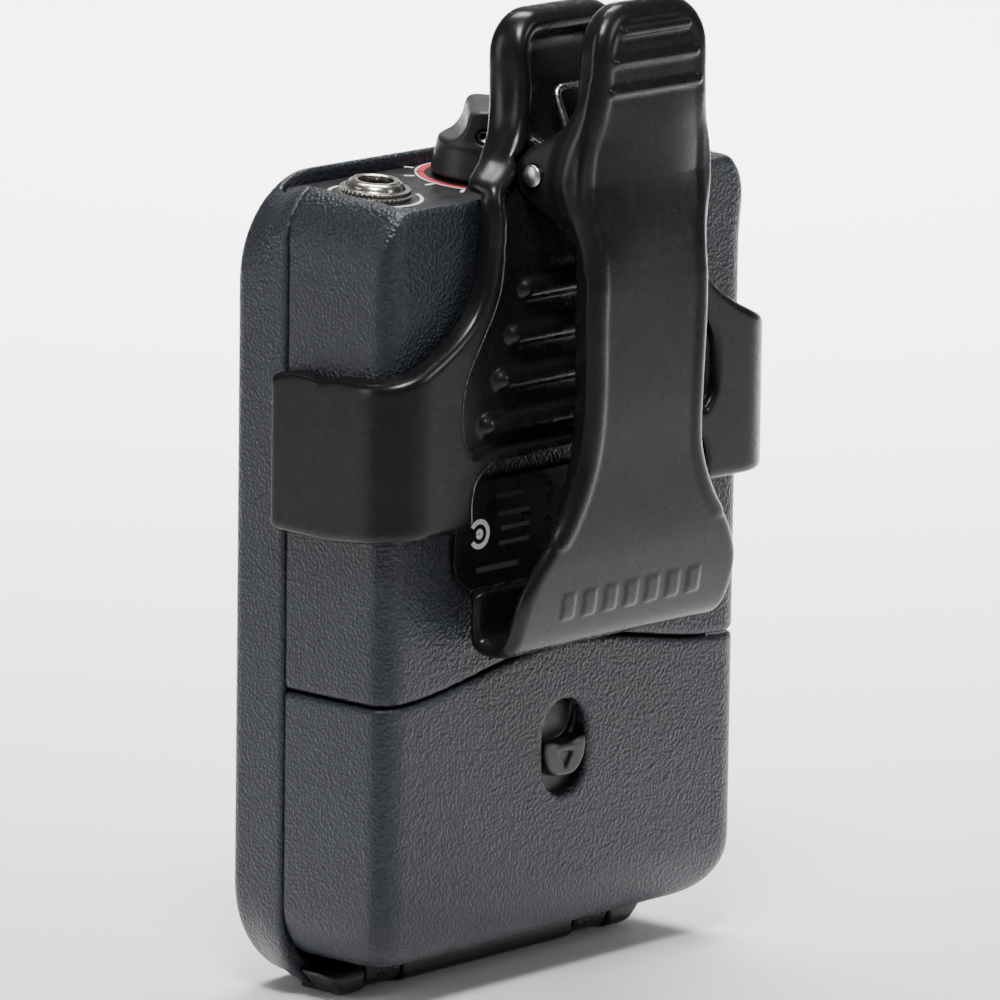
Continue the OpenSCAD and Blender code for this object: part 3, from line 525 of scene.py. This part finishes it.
def emblem(g, solid):
    """A raised row of plain slanted bars across the foot of the lever."""
    skin_y = np.interp(g.z, [z for _, z in LEVER_FACE[:12]][::-1], [y for y, _ in LEVER_FACE[:12]][::-1])
    raised = np.maximum(g.y - skin_y - 0.22, skin_y - 1 - g.y)
    for i in range(7):
        x = -10.8 + 3.6 * i
        bar = [(x - 1.25, 45.9), (x + 0.75, 45.9), (x + 1.25, 48.9), (x - 0.75, 48.9)]
        solid = join(solid, np.maximum(g.front(bar), raised), 0.1)
    return solid


def clip_lever():
    g = Grid((-20, 11.4, 40.2), (20, 25.6, 117.6), 0.3)
    solid = lever_plate(g)
    ear = join(g.rod_x(*PIN, 3), g.side(EAR), 1.2)
    ear = meet(ear, lever_outline(g), 0.5)
    for x in (-10.4, 10.4):
        solid = join(solid, meet(ear, g.slab(0, x - 1.1, x + 1.1), 0.3), 0.9)
    for z, half in ((113.3, 6.0), (109.9, 7.4), (106.5, 8.0)):
        solid = join(solid, g.capsule((-half + 0.6, 23.55, z), (half - 0.6, 23.55, z), 0.6), 0.1)
    solid = emblem(g, solid)
    solid = cut(solid, np.maximum(g.rod_x(*PIN, 1.05), g.slab(0, -12, 12)))
    return solid_piece("clip_lever_moulding", np.maximum(solid, g.z - 116.5), g)


def lathe(name, profile, n=48, ripple=None, place=None):
    """A turned piece about Z from (radius, height) pairs. Ripple gives a radius offset by angle and pair."""
    angles = np.linspace(0, 2 * math.pi, n, endpoint=False)
    rings = []
    for i, (r, z) in enumerate(profile):
        extra = ripple(angles, i) if ripple else 0 * angles
        reach = r + extra
        rings.append(np.stack([reach * np.cos(angles), reach * np.sin(angles), z + 0 * angles], 1))
    points = np.vstack(rings)
    faces = []
    for i in range(len(profile) - 1):
        for k in range(n):
            m = (k + 1) % n
            faces.append((i * n + k, i * n + m, (i + 1) * n + m, (i + 1) * n + k))
    if profile[0] != profile[-1]:
        faces += [tuple(range(n))[::-1], tuple(range((len(profile) - 1) * n, len(profile) * n))]
    if place is not None:
        points = points @ place[0].T + place[1]
    return crisp(mesh_piece(name, points, faces), 32)


def crisp(obj, degrees):
    """Smooth shading that breaks at edges sharper than the angle."""
    obj.data.set_sharp_from_angle(angle=math.radians(degrees))
    return obj


def along_x_place(y, z, x=0.0, flip=False):
    """Places a turned piece with its axis along X."""
    s = -1 if flip else 1
    return np.array([[0, 0, s], [0, 1, 0], [-s, 0, 0]], float), np.array([x, y, z], float)


def clip_pin():
    """Pin with a domed head at each end."""
    end, head = 11.6, 1.3
    dome = [(head * math.cos(t), end + 0.12 + 0.42 * math.sin(t)) for t in np.linspace(0, 1.45, 8)]
    half = [(1.0, 0.0), (1.0, end), (head - 0.08, end), (head, end + 0.06)] + dome
    profile = [(r, -z) for r, z in reversed(half[1:])] + half[1:]
    return lathe("clip_pin_turned", profile, 40, place=along_x_place(*PIN))


def tube(name, path, r, sides=12):
    """A round wire along a path, with closed ends."""
    p = np.asarray(path, float)
    tangent = np.gradient(p, axis=0)
    tangent /= np.linalg.norm(tangent, axis=1)[:, None]
    normal = np.cross(tangent[0], (0.3, 0.5, 0.81))
    angles = np.linspace(0, 2 * math.pi, sides, endpoint=False)
    points = []
    for c, t in zip(p, tangent):
        normal = normal - t * (normal @ t)
        normal /= np.linalg.norm(normal)
        side = np.cross(t, normal)
        points.append(c + r * (np.cos(angles)[:, None] * normal + np.sin(angles)[:, None] * side))
    n = len(p)
    faces = [
        (i * sides + k, i * sides + (k + 1) % sides, (i + 1) * sides + (k + 1) % sides, (i + 1) * sides + k)
        for i in range(n - 1)
        for k in range(sides)
    ]
    faces += [tuple(range(sides))[::-1], tuple(range((n - 1) * sides, n * sides))]
    return crisp(mesh_piece(name, np.vstack(points), faces), 50)


def clip_spring():
    """Double torsion spring: tail on the lever, coil, hoop on the bracket's neck, coil, tail."""
    y, z = PIN
    r, turns, n = 2.1, 3, 90
    a = math.radians(35) + np.linspace(0, turns * 2 * math.pi + math.radians(110), n)
    coil = np.stack([5.2 - np.linspace(0, 2.0, n), y + r * np.cos(a), z + r * np.sin(a)], 1)
    tail = np.linspace((5.2, y + 5.3, z + 6.3), coil[0], 14, endpoint=False)
    x = coil[-1][0]
    hoop = [
        (x, y - 2.4, z + 4.2), (x, y - 3.8, z + 7.2), (x - 0.3, y - 4.2, z + 8.2), (x - 1.1, y - 4.3, z + 8.6),
        (0.2, y - 4.3, z + 8.6),
    ]
    half = np.vstack([tail, coil[:-1], eased([tuple(coil[-1])] + hoop, 8)])
    path = np.vstack([half, half[::-1] * (-1, 1, 1)])
    return tube("clip_spring_wire", path, 0.5)


def coil_path(r0, r1, length, turns, n=40):
    """A helix along X from 0 to length, its radius going from r0 to r1."""
    t = np.linspace(0, 1, int(turns * n))
    a = 2 * math.pi * turns * t
    r = r0 + (r1 - r0) * t
    return np.stack([length * t, r * np.cos(a), r * np.sin(a)], 1)


# ---- Top panel ----


def tilted(x, y, lift=0.0):
    """Places a piece on the panel's surface above (x, y)."""
    c, s = math.cos(TILT), math.sin(TILT)
    turn = np.array([[1, 0, 0], [0, c, s], [0, -s, c]])
    base = np.array([x, y, PANEL_Z - y * math.tan(TILT)])
    return turn, base + turn @ np.array([0, 0, lift])


def knob_turn():
    """The grip's turn about the knob's axis, 45 degrees."""
    c = math.sqrt(0.5)
    return np.array([[c, -c, 0], [c, c, 0], [0, 0, 1]])


def level_knob():
    """Skirted knob with a grip of concave flanks, turned 45 degrees, and its grub screw's hole."""
    g = Grid((-6.3, -6.3, -0.4), (6.3, 6.3, 9.5), 0.17)
    radius = np.hypot(g.x, g.y)
    skirt = meet(radius - 5.75 + 0.16 * g.z, g.slab(2, 0.35, 4.75), 0.5)
    flank = [(4.6, 4.0), (3.3, 4.9), (2.6, 5.7), (2.15, 6.7), (1.95, 7.8), (1.65, 8.4), (0.9, 8.7)]
    grip = meet(g.side(mirrored([flank[0]] + eased(flank[1:]))), radius - 5.03, 0.4)
    solid = join(skirt, grip, 0.5)
    solid = cut(solid, np.maximum(radius - 4.4, g.z - 2.2))
    solid = cut(solid, np.maximum(radius - 1.52, g.z - 7))
    solid = cut(solid, np.maximum(np.hypot(g.y, g.z - GRUB_H) - 0.95, -g.x), 0.12)
    turn, base = tilted(*KNOB_AT)
    return solid_piece("level_knob_moulding", solid, g, (turn @ knob_turn(), base))


def jack_nut():
    """Knurled nut with a domed top and a rolled lip."""

    def knurl(angle, i):
        return np.where(1 <= i <= 4, 0.24 * np.abs(np.sin(angle * 20)) ** 0.6 - 0.24, 0 * angle)

    profile = [
        (3.0, 0.06), (4.15, 0.06), (4.2, 0.2), (4.2, 0.85), (4.12, 1.0), (3.7, 1.06), (3.5, 1.06), (3.42, 1.14),
        (3.34, 1.36), (3.18, 1.6), (2.92, 1.78), (2.78, 1.84), (2.72, 1.94), (2.5, 1.99), (2.25, 1.96),
        (2.1, 1.84), (2.06, 1.2), (3.0, 1.0), (3.0, 0.06),
    ]
    return lathe("jack_nut_turned", profile, 240, knurl, tilted(*JACK_AT))


def screw_ring():
    """Bright end of the knob's grub screw."""
    turn, base = tilted(*KNOB_AT)
    lie = knob_turn() @ np.array([[0, 0, 1], [0, 1, 0], [-1, 0, 0]], float)
    profile = [(0.4, 3.6), (0.42, 4.45), (0.6, 4.62), (0.78, 4.5), (0.78, 1.6), (0.4, 1.6), (0.4, 3.6)]
    return lathe("grub_screw_turned", profile, 32, place=(turn @ lie, base + turn @ np.array([0, 0, GRUB_H])))


def print_mark(name, outlines, place, lift=0.012):
    """Flat printed shapes on a surface, each a thin closed prism."""
    points, faces = [], []
    for shape in outlines:
        n, k = len(shape), len(points)
        points += [(u, v, 0.0) for u, v in shape] + [(u, v, lift) for u, v in shape]
        faces += [tuple(range(k + n, k + 2 * n)), tuple(range(k, k + n))[::-1]]
        faces += [(k + i, k + (i + 1) % n, k + n + (i + 1) % n, k + n + i) for i in range(n)]
    turn, shift = place
    return crisp(mesh_piece(name, np.array(points) @ turn.T + shift, faces), 30)


def ring_sector(r0, r1, a0, a1, cx=0.0, cy=0.0, n=24):
    """Outline of part of a flat ring."""
    return arc(cx, cy, r1, a0, a1, n) + arc(cx, cy, r0, a1, a0, n)


def panel_prints():
    """Red level ring with white edges and ticks, and white arcs by the jack and the lamp."""
    knob, jack, lamp = tilted(*KNOB_AT, INK_LIFT), tilted(*JACK_AT, INK_LIFT), tilted(*LAMP_AT, INK_LIFT)
    red = [ring_sector(6.3, 7.0, a, a + 76, n=30) for a in (-125, -45, 35, 115)]
    white = [ring_sector(7.15, 7.4, a, a + 76, n=30) for a in (-125, -45, 35, 115)]
    for a in range(-150, 181, 30):
        c, s = math.cos(math.radians(a + 90)), math.sin(math.radians(a + 90))
        tick = ((7.7, -0.2), (9.0, -0.2), (9.0, 0.2), (7.7, 0.2))
        white.append([(c * u - s * v, s * u + c * v) for u, v in tick])
    arcs = [ring_sector(5.2, 5.6, 20, 160), ring_sector(5.2, 5.6, 200, 340)]
    lamp_ring = [ring_sector(2.4, 2.7, 20, 160), ring_sector(2.4, 2.7, 200, 340)]
    return [
        (print_mark("level_ring_print", red, knob), "red"),
        (print_mark("level_tick_print", white, knob), "white"),
        (print_mark("jack_arc_print", arcs, jack), "white"),
        (print_mark("lamp_ring_print", lamp_ring, lamp), "white"),
    ]


def label_outline(grow):
    """The rear label seen from behind."""
    return mirrored([
        (17.5 + grow, 48.9 - grow), (19.8 + grow, 50.6), (20.3 + grow, 52.5), (19.9 + grow, 60),
        (18.6 + grow, 61.4 + grow),
    ])


def label_prints():
    """A plain white roundel and faint bars in place of the printing."""
    place = (np.array([[1, 0, 0], [0, 0, 1], [0, 1, 0]], float), np.array([0, BACK_Y - 0.148, 0]))
    at = (16.1, 55.3)
    roundel = [ring_sector(1.15, 1.75, 35, 325, *at, 30), ring_sector(0.1, 0.62, 0, 350, *at, 20)]
    bars = []
    rows = ((59.4, 8.6, 13.4), (57.3, 7.6, 13.0), (55.6, 7.6, 12.4), (53.9, 7.6, 12.8), (51.3, 9.4, 16.6))
    for z, x0, x1 in rows:
        h = 0.42 if z > 52 else 0.55
        bars.append([(x0, z - h), (x1, z - h), (x1, z + h * 0.2), (x0, z + h * 0.2)])
    bars += [[(-x, z) for x, z in reversed(b)] for b in bars]
    return [
        (print_mark("label_roundel_print", roundel, place, 0.01), "white"),
        (print_mark("label_bar_print", bars, place, 0.01), "grey"),
    ]


# ---- Inside ----


def cell(name, z, flip):
    """An AA cell with its button and crimped jacket."""
    profile = [
        (0.01, 0.0), (4.8, 0.0), (5.2, 0.12), (6.2, 0.12), (6.7, 0.02), (7.05, 0.25), (7.1, 0.6), (7.1, 48.2),
        (7.02, 48.6), (6.6, 48.8), (6.1, 48.6), (5.4, 48.55), (2.9, 48.6), (2.75, 48.75), (2.7, 49.9),
        (2.5, 50.15), (0.01, 50.18),
    ]
    return lathe(name, profile, 64, place=along_x_place(1, z, 25.1 if flip else -25.1, flip))


def contact_springs():
    """Conical contact coils at the cells' flat ends."""
    pieces = []
    for name, sign, z in (("contact_spring_upper", -1, 28.6), ("contact_spring_lower", 1, 13.7)):
        path = coil_path(4.1, 2.6, 1.5, 3.5)
        path = np.stack([sign * (26.95 - path[:, 0]), 1 + path[:, 1], z + path[:, 2]], 1)
        pieces.append(tube(name, path, 0.28, 10))
    return pieces


def latch_spring():
    path = coil_path(0.66, 0.66, 4.3, 7)
    path = np.stack([path[:, 1], 9.4 + path[:, 2], 12.85 + path[:, 0]], 1)
    return tube("latch_spring_wire", path, 0.17, 8)


def aerial_coil(node):
    """Copper coil in the place of its CAD node."""
    low, high = (np.array(c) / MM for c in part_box(node))
    mid, r = (low + high) / 2, (high[0] - low[0]) / 2 - 0.32
    path = coil_path(r, r, high[2] - low[2] - 0.7, 6)
    path = np.stack([mid[0] + path[:, 1], mid[1] + path[:, 2], low[2] + 0.35 + path[:, 0]], 1)
    return tube("aerial_coil_wire", path, 0.28, 10)


# ---- Materials ----


class Look:
    """A procedural material on a Principled shader."""

    def __init__(self, name, colour, rough, metal=0.0, specular=0.5):
        self.material = bpy.data.materials.new(name)
        self.material.use_nodes = True
        self.nodes = self.material.node_tree.nodes
        self.links = self.material.node_tree.links
        self.shader = self.nodes["Principled BSDF"]
        self.shader.inputs["Base Color"].default_value = (*colour, 1)
        self.shader.inputs["Roughness"].default_value = rough
        self.shader.inputs["Metallic"].default_value = metal
        self.shader.inputs["Specular IOR Level"].default_value = specular
        self.coords = self.nodes.new("ShaderNodeTexCoord").outputs["Object"]
        self.height = None

    def noise(self, scale, detail=4.0, rough=0.55, stretch=None):
        """Noise over the object, scale in cycles per metre."""
        node = self.nodes.new("ShaderNodeTexNoise")
        node.inputs["Scale"].default_value = scale
        node.inputs["Detail"].default_value = detail
        node.inputs["Roughness"].default_value = rough
        source = self.coords
        if stretch:
            mapping = self.nodes.new("ShaderNodeMapping")
            mapping.inputs["Scale"].default_value = stretch
            self.links.new(source, mapping.inputs["Vector"])
            source = mapping.outputs["Vector"]
        self.links.new(source, node.inputs["Vector"])
        return node.outputs["Fac"]

    def cells(self, scale, smooth=0.6):
        """Soft rounded cells over the object."""
        node = self.nodes.new("ShaderNodeTexVoronoi")
        node.feature = "SMOOTH_F1"
        node.inputs["Scale"].default_value = scale
        node.inputs["Smoothness"].default_value = smooth
        self.links.new(self.coords, node.inputs["Vector"])
        return node.outputs["Distance"]

    def ranged(self, source, low, high, to_low, to_high):
        """A source mapped from one range to another."""
        node = self.nodes.new("ShaderNodeMapRange")
        for key, value in zip(("From Min", "From Max", "To Min", "To Max"), (low, high, to_low, to_high)):
            node.inputs[key].default_value = value
        self.links.new(source, node.inputs["Value"])
        return node.outputs["Result"]

    def rough(self, source, low, high):
        self.links.new(self.ranged(source, 0.3, 0.7, low, high), self.shader.inputs["Roughness"])
        return self

    def tint(self, source, low, high, a=0.35, b=0.65):
        """Colour that drifts between two tones with a source."""
        ramp = self.nodes.new("ShaderNodeValToRGB")
        ramp.color_ramp.elements[0].position, ramp.color_ramp.elements[1].position = a, b
        ramp.color_ramp.elements[0].color, ramp.color_ramp.elements[1].color = (*low, 1), (*high, 1)
        self.links.new(source, ramp.inputs["Fac"])
        self.links.new(ramp.outputs["Color"], self.shader.inputs["Base Color"])
        return self

    def bump(self, source, strength, distance):
        """Adds a layer of relief, distance in metres."""
        node = self.nodes.new("ShaderNodeBump")
        node.inputs["Strength"].default_value = strength
        node.inputs["Distance"].default_value = distance
        self.links.new(source, node.inputs["Height"])
        if self.height is not None:
            self.links.new(self.height, node.inputs["Normal"])
        self.height = node.outputs["Normal"]
        self.links.new(self.height, self.shader.inputs["Normal"])
        return self


def grained_case():
    look = Look("case_plastic", (0.018, 0.021, 0.027), 0.42, specular=0.4)
    look.tint(look.noise(900, 5), (0.013, 0.0155, 0.021), (0.018, 0.021, 0.027))
    look.rough(look.noise(2600, 3), 0.3, 0.42)
    look.bump(look.cells(2500), 1.0, 0.00014)
    return look.bump(look.noise(4600, 3, 0.6), 0.7, 0.00006)


def clip_plastic():
    look = Look("clip_plastic", (0.007, 0.007, 0.0075), 0.26, specular=0.3)
    look.rough(look.noise(420, 4), 0.22, 0.31)
    look.tint(look.noise(160, 3), (0.006, 0.006, 0.0065), (0.008, 0.008, 0.0085))
    look.bump(look.noise(1500, 5, 0.6), 0.12, 0.00002)
    return look.bump(look.noise(240, 2, 0.5, (1, 1, 0.25)), 0.06, 0.0001)


def black_plastic():
    look = Look("black_plastic", (0.012, 0.012, 0.013), 0.36)
    look.rough(look.noise(500, 4), 0.3, 0.44)
    return look.bump(look.noise(2600, 4), 0.15, 0.00002)


def knob_plastic():
    look = Look("knob_plastic", (0.012, 0.012, 0.013), 0.42)
    look.rough(look.noise(900, 4), 0.36, 0.5)
    return look.bump(look.noise(4200, 4, 0.65), 0.5, 0.00006)


def panel_plastic():
    look = Look("panel_plastic", (0.012, 0.012, 0.014), 0.34)
    look.rough(look.noise(700, 4), 0.28, 0.42)
    return look.bump(look.noise(3800, 3), 0.12, 0.00002)


def label_film():
    look = Look("label_film", (0.008, 0.008, 0.009), 0.3)
    look.rough(look.noise(380, 3), 0.24, 0.36)
    return look.bump(look.noise(900, 4), 0.06, 0.00002)


def metal(name, colour, rough, scale=1800, stretch=(1, 1, 1)):
    look = Look(name, colour, rough, 1.0)
    look.rough(look.noise(scale, 4, 0.6, stretch), rough * 0.75, rough * 1.5)
    look.tint(look.noise(scale / 3, 3), tuple(0.86 * c for c in colour), colour)
    return look.bump(look.noise(scale * 1.6, 3, 0.6, stretch), 0.1, 0.00001)


def circuit_board():
    look = Look("board", (0.015, 0.12, 0.06), 0.35)
    look.tint(look.cells(520, 0.1), (0.012, 0.17, 0.08), (0.008, 0.09, 0.05), 0.3, 0.34)
    look.rough(look.noise(700, 3), 0.28, 0.42)
    return look.bump(look.cells(520, 0.1), 0.15, 0.00003)


def chip_epoxy():
    look = Look("chip_epoxy", (0.02, 0.02, 0.021), 0.55)
    look.rough(look.noise(1200, 4), 0.48, 0.65)
    return look.bump(look.noise(5200, 4), 0.3, 0.00002)


def cell_jacket():
    """Blue jacket that drifts a little in tone along the cell."""
    look = Look("cell_jacket", (0.03, 0.05, 0.12), 0.3)
    look.rough(look.noise(300, 3), 0.2, 0.34)
    look.tint(look.noise(60, 2, 0.5, (1, 0.2, 0.2)), (0.02, 0.03, 0.075), (0.035, 0.05, 0.11))
    return look.bump(look.noise(1400, 3), 0.08, 0.00002)


def display_glass():
    look = Look("display_glass", (0.3, 0.36, 0.26), 0.25)
    look.tint(look.noise(700, 2), (0.27, 0.33, 0.235), (0.31, 0.37, 0.27))
    return look.bump(look.noise(2400, 3), 0.05, 0.00001)


def clear_window():
    look = Look("clear_window", (0.8, 0.85, 0.85), 0.08)
    look.shader.inputs["Transmission Weight"].default_value = 0.92
    look.rough(look.noise(300, 3), 0.05, 0.12)
    return look.bump(look.noise(800, 2), 0.03, 0.00001)


def key_rubber():
    look = Look("key_rubber", (0.03, 0.03, 0.033), 0.6)
    look.rough(look.noise(900, 4), 0.52, 0.7)
    return look.bump(look.noise(3600, 4), 0.4, 0.00004)


def led_lens():
    look = Look("led_lens", (0.5, 0.04, 0.03), 0.2)
    look.shader.inputs["Transmission Weight"].default_value = 0.35
    look.rough(look.noise(700, 2), 0.12, 0.26)
    return look.bump(look.noise(900, 2), 0.05, 0.00001)


def ink(name, colour):
    look = Look(name, colour, 0.45)
    look.rough(look.noise(2200, 3), 0.38, 0.55)
    look.tint(look.noise(3000, 4), tuple(0.8 * c for c in colour), colour, 0.25, 0.55)
    return look.bump(look.noise(5200, 3), 0.1, 0.00001)


def make_looks():
    """One material for each material slot of the record, and the printing inks."""
    looks = {
        "case_plastic": grained_case(), "clip_plastic": clip_plastic(), "black_plastic": black_plastic(),
        "knob_plastic": knob_plastic(), "panel_plastic": panel_plastic(), "label_film": label_film(),
        "spring_steel": metal("spring_steel", (0.62, 0.62, 0.63), 0.22),
        "pin_steel": metal("pin_steel", (0.56, 0.56, 0.57), 0.28),
        "tinned_steel": metal("tinned_steel", (0.62, 0.62, 0.6), 0.35, 500),
        "nickel": metal("nickel", (0.66, 0.63, 0.58), 0.18),
        "copper": metal("copper", (0.75, 0.36, 0.17), 0.3),
        "board": circuit_board(), "chip_epoxy": chip_epoxy(),
        "cell_jacket": cell_jacket(), "display_glass": display_glass(), "clear_window": clear_window(),
        "key_rubber": key_rubber(), "led_lens": led_lens(),
    }
    inks = {
        "red": ink("red_ink", (0.55, 0.02, 0.03)),
        "white": ink("white_ink", (0.75, 0.75, 0.73)),
        "grey": ink("grey_ink", (0.05, 0.05, 0.05)),
    }
    return {k: v.material for k, v in looks.items()}, {k: v.material for k, v in inks.items()}


# ---- Assembly ----


def dress(obj, material):
    obj.data.materials.clear()
    obj.data.materials.append(material)
    return obj


def stand_for(obj, node, slots, looks, body=None):
    """A made piece takes the place of its CAD node, on that node's body and with its material."""
    dress(obj, looks[slots[node]])
    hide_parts(node)
    if body:
        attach(obj, body)
    return obj


def soften(node, width):
    """Rounds the edges of a CAD node as it is shown."""
    weld = node.modifiers.new("weld", "WELD")
    weld.merge_threshold = 1e-6
    bevel = node.modifiers.new("bevel", "BEVEL")
    bevel.width = width * MM
    bevel.segments = 2
    bevel.limit_method = "ANGLE"
    bevel.angle_limit = math.radians(35)
    bevel.harden_normals = True


def build_pieces(frame, looks, inks):
    record = frame["record"]
    slots = {s["node"]: s["material_slot"] for s in record["subparts"]}
    for name, obj in frame["nodes"].items():
        dress(obj, looks[slots[name]])
        soften(obj, 0.12)
    made = [
        (front_shell(), "front_shell", "chassis"),
        (rear_shell(), "rear_shell", "chassis"),
        (base_strip(), "base_strip", "chassis"),
        (clip_bracket(), "clip_bracket", "chassis"),
        (battery_door(), "battery_door", "door"),
        (door_latch(), "door_latch", "latch"),
        (clip_lever(), "clip_lever", "lever"),
        (clip_pin(), "clip_pin", "chassis"),
        (level_knob(), "level_knob", "knob"),
        (screw_ring(), "knob_screw", "knob"),
        (jack_nut(), "jack_nut", "chassis"),
        (latch_spring(), "latch_spring", "door"),
        (cell("upper_cell_can", 28.6, False), "upper_cell", "chassis"),
        (cell("lower_cell_can", 13.7, True), "lower_cell", "chassis"),
        (aerial_coil("aerial_coil"), "aerial_coil", "chassis"),
    ]
    for obj, node, body in made:
        stand_for(obj, node, slots, looks, body)
    for obj in contact_springs():
        stand_for(obj, "contact_springs", slots, looks, "chassis")
    spring = stand_for(clip_spring(), "clip_spring", slots, looks)
    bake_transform(spring)
    for obj, colour in panel_prints() + label_prints():
        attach(dress(obj, inks[colour]), "chassis")


# ---- Camera, floor and light ----

CAMERA_DISTANCE = 1.093  # metres


def camera():
    """A long lens behind the object on its +X side, a little above it."""
    data = bpy.data.cameras.new("camera")
    data.lens = 338.4
    data.sensor_width = 36
    data.clip_start, data.clip_end = 0.05, 20
    obj = bpy.data.objects.new("camera", data)
    bpy.context.scene.collection.objects.link(obj)
    right, up, back = (-0.67117, 0.74117, 0.01367), (-0.14135, -0.14606, 0.97911), (0.72770, 0.65523, 0.20279)
    turn = Matrix((right, up, back)).transposed().to_4x4()
    aim = Vector((-1.49, -0.46, 54.84)) * MM
    obj.matrix_world = Matrix.Translation(aim + Vector(back) * CAMERA_DISTANCE) @ turn
    bpy.context.scene.camera = obj
    return Vector(back), aim


def area_light(name, place, aim, size, power, size_y=None, spread=180):
    data = bpy.data.lights.new(name, "AREA")
    data.energy, data.size, data.spread = power, size, math.radians(spread)
    if size_y:
        data.shape, data.size_y = "RECTANGLE", size_y
    obj = bpy.data.objects.new(name, data)
    bpy.context.scene.collection.objects.link(obj)
    obj.location = place
    obj.rotation_euler = (Vector(aim) - Vector(place)).to_track_quat("-Z", "Y").to_euler()


def pale_floor(back):
    """A pale floor that turns up into a pale backdrop behind the object."""
    look = Look("pale_floor", (0.9, 0.9, 0.9), 0.7)
    look.rough(look.noise(3, 3), 0.65, 0.8)
    flat = Vector((back.x, back.y, 0)).normalized()
    side = Vector((-flat.y, flat.x, 0))
    points, n = [], 24
    for i in range(n + 1):
        t = i / n
        if t < 0.4:
            out, up = 3 - 3.6 * t / 0.4, 0
        elif t < 0.7:
            a = (t - 0.4) / 0.3 * math.pi / 2
            out, up = -0.6 - 0.8 * math.sin(a), 0.8 * (1 - math.cos(a))
        else:
            out, up = -1.4, 0.8 + 3 * (t - 0.7) / 0.3
        for s in (-4, 4):
            points.append(flat * out + side * s + Vector((0, 0, up)))
    faces = [(2 * i, 2 * i + 1, 2 * i + 3, 2 * i + 2) for i in range(n)]
    mesh = bpy.data.meshes.new("floor")
    mesh.from_pydata([tuple(p) for p in points], [], faces)
    mesh.shade_smooth()
    obj = bpy.data.objects.new("floor", mesh)
    bpy.context.scene.collection.objects.link(obj)
    dress(obj, look.material)


def lights(aim):
    """Soft boxes round the object, and one above the floor behind it."""
    world = bpy.data.worlds.new("studio")
    bpy.context.scene.world = world
    world.use_nodes = True
    world.node_tree.nodes["Background"].inputs["Color"].default_value = (1, 1, 1, 1)
    world.node_tree.nodes["Background"].inputs["Strength"].default_value = 0.1
    area_light("left_box", (0.95, -0.5, 0.35), aim, 0.35, 3.2, size_y=0.8)
    area_light("right_box", (-0.45, 0.95, 0.55), aim, 0.3, 3.0, size_y=0.5)
    area_light("top_box", (0.26, 0.24, 0.85), (0, 0, 0.1), 0.4, 2.2)
    area_light("high_box", (0.21, 0.17, 0.55), (0, 0, 0.1), 0.14, 0.2, spread=44)
    area_light("floor_box", (-0.48, -0.43, 1.0), (-0.44, -0.40, 0), 0.75, 14.5, size_y=0.75, spread=60)


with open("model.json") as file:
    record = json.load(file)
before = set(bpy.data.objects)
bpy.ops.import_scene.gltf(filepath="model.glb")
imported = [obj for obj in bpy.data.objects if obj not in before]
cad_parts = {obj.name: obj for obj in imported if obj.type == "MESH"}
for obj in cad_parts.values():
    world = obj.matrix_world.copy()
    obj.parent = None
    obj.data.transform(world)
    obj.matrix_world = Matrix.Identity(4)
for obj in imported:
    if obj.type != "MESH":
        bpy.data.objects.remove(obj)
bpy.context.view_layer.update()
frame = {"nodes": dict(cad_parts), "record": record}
looks, inks = make_looks()
build_pieces(frame, looks, inks)
back, aim = camera()
pale_floor(back)
lights(aim)
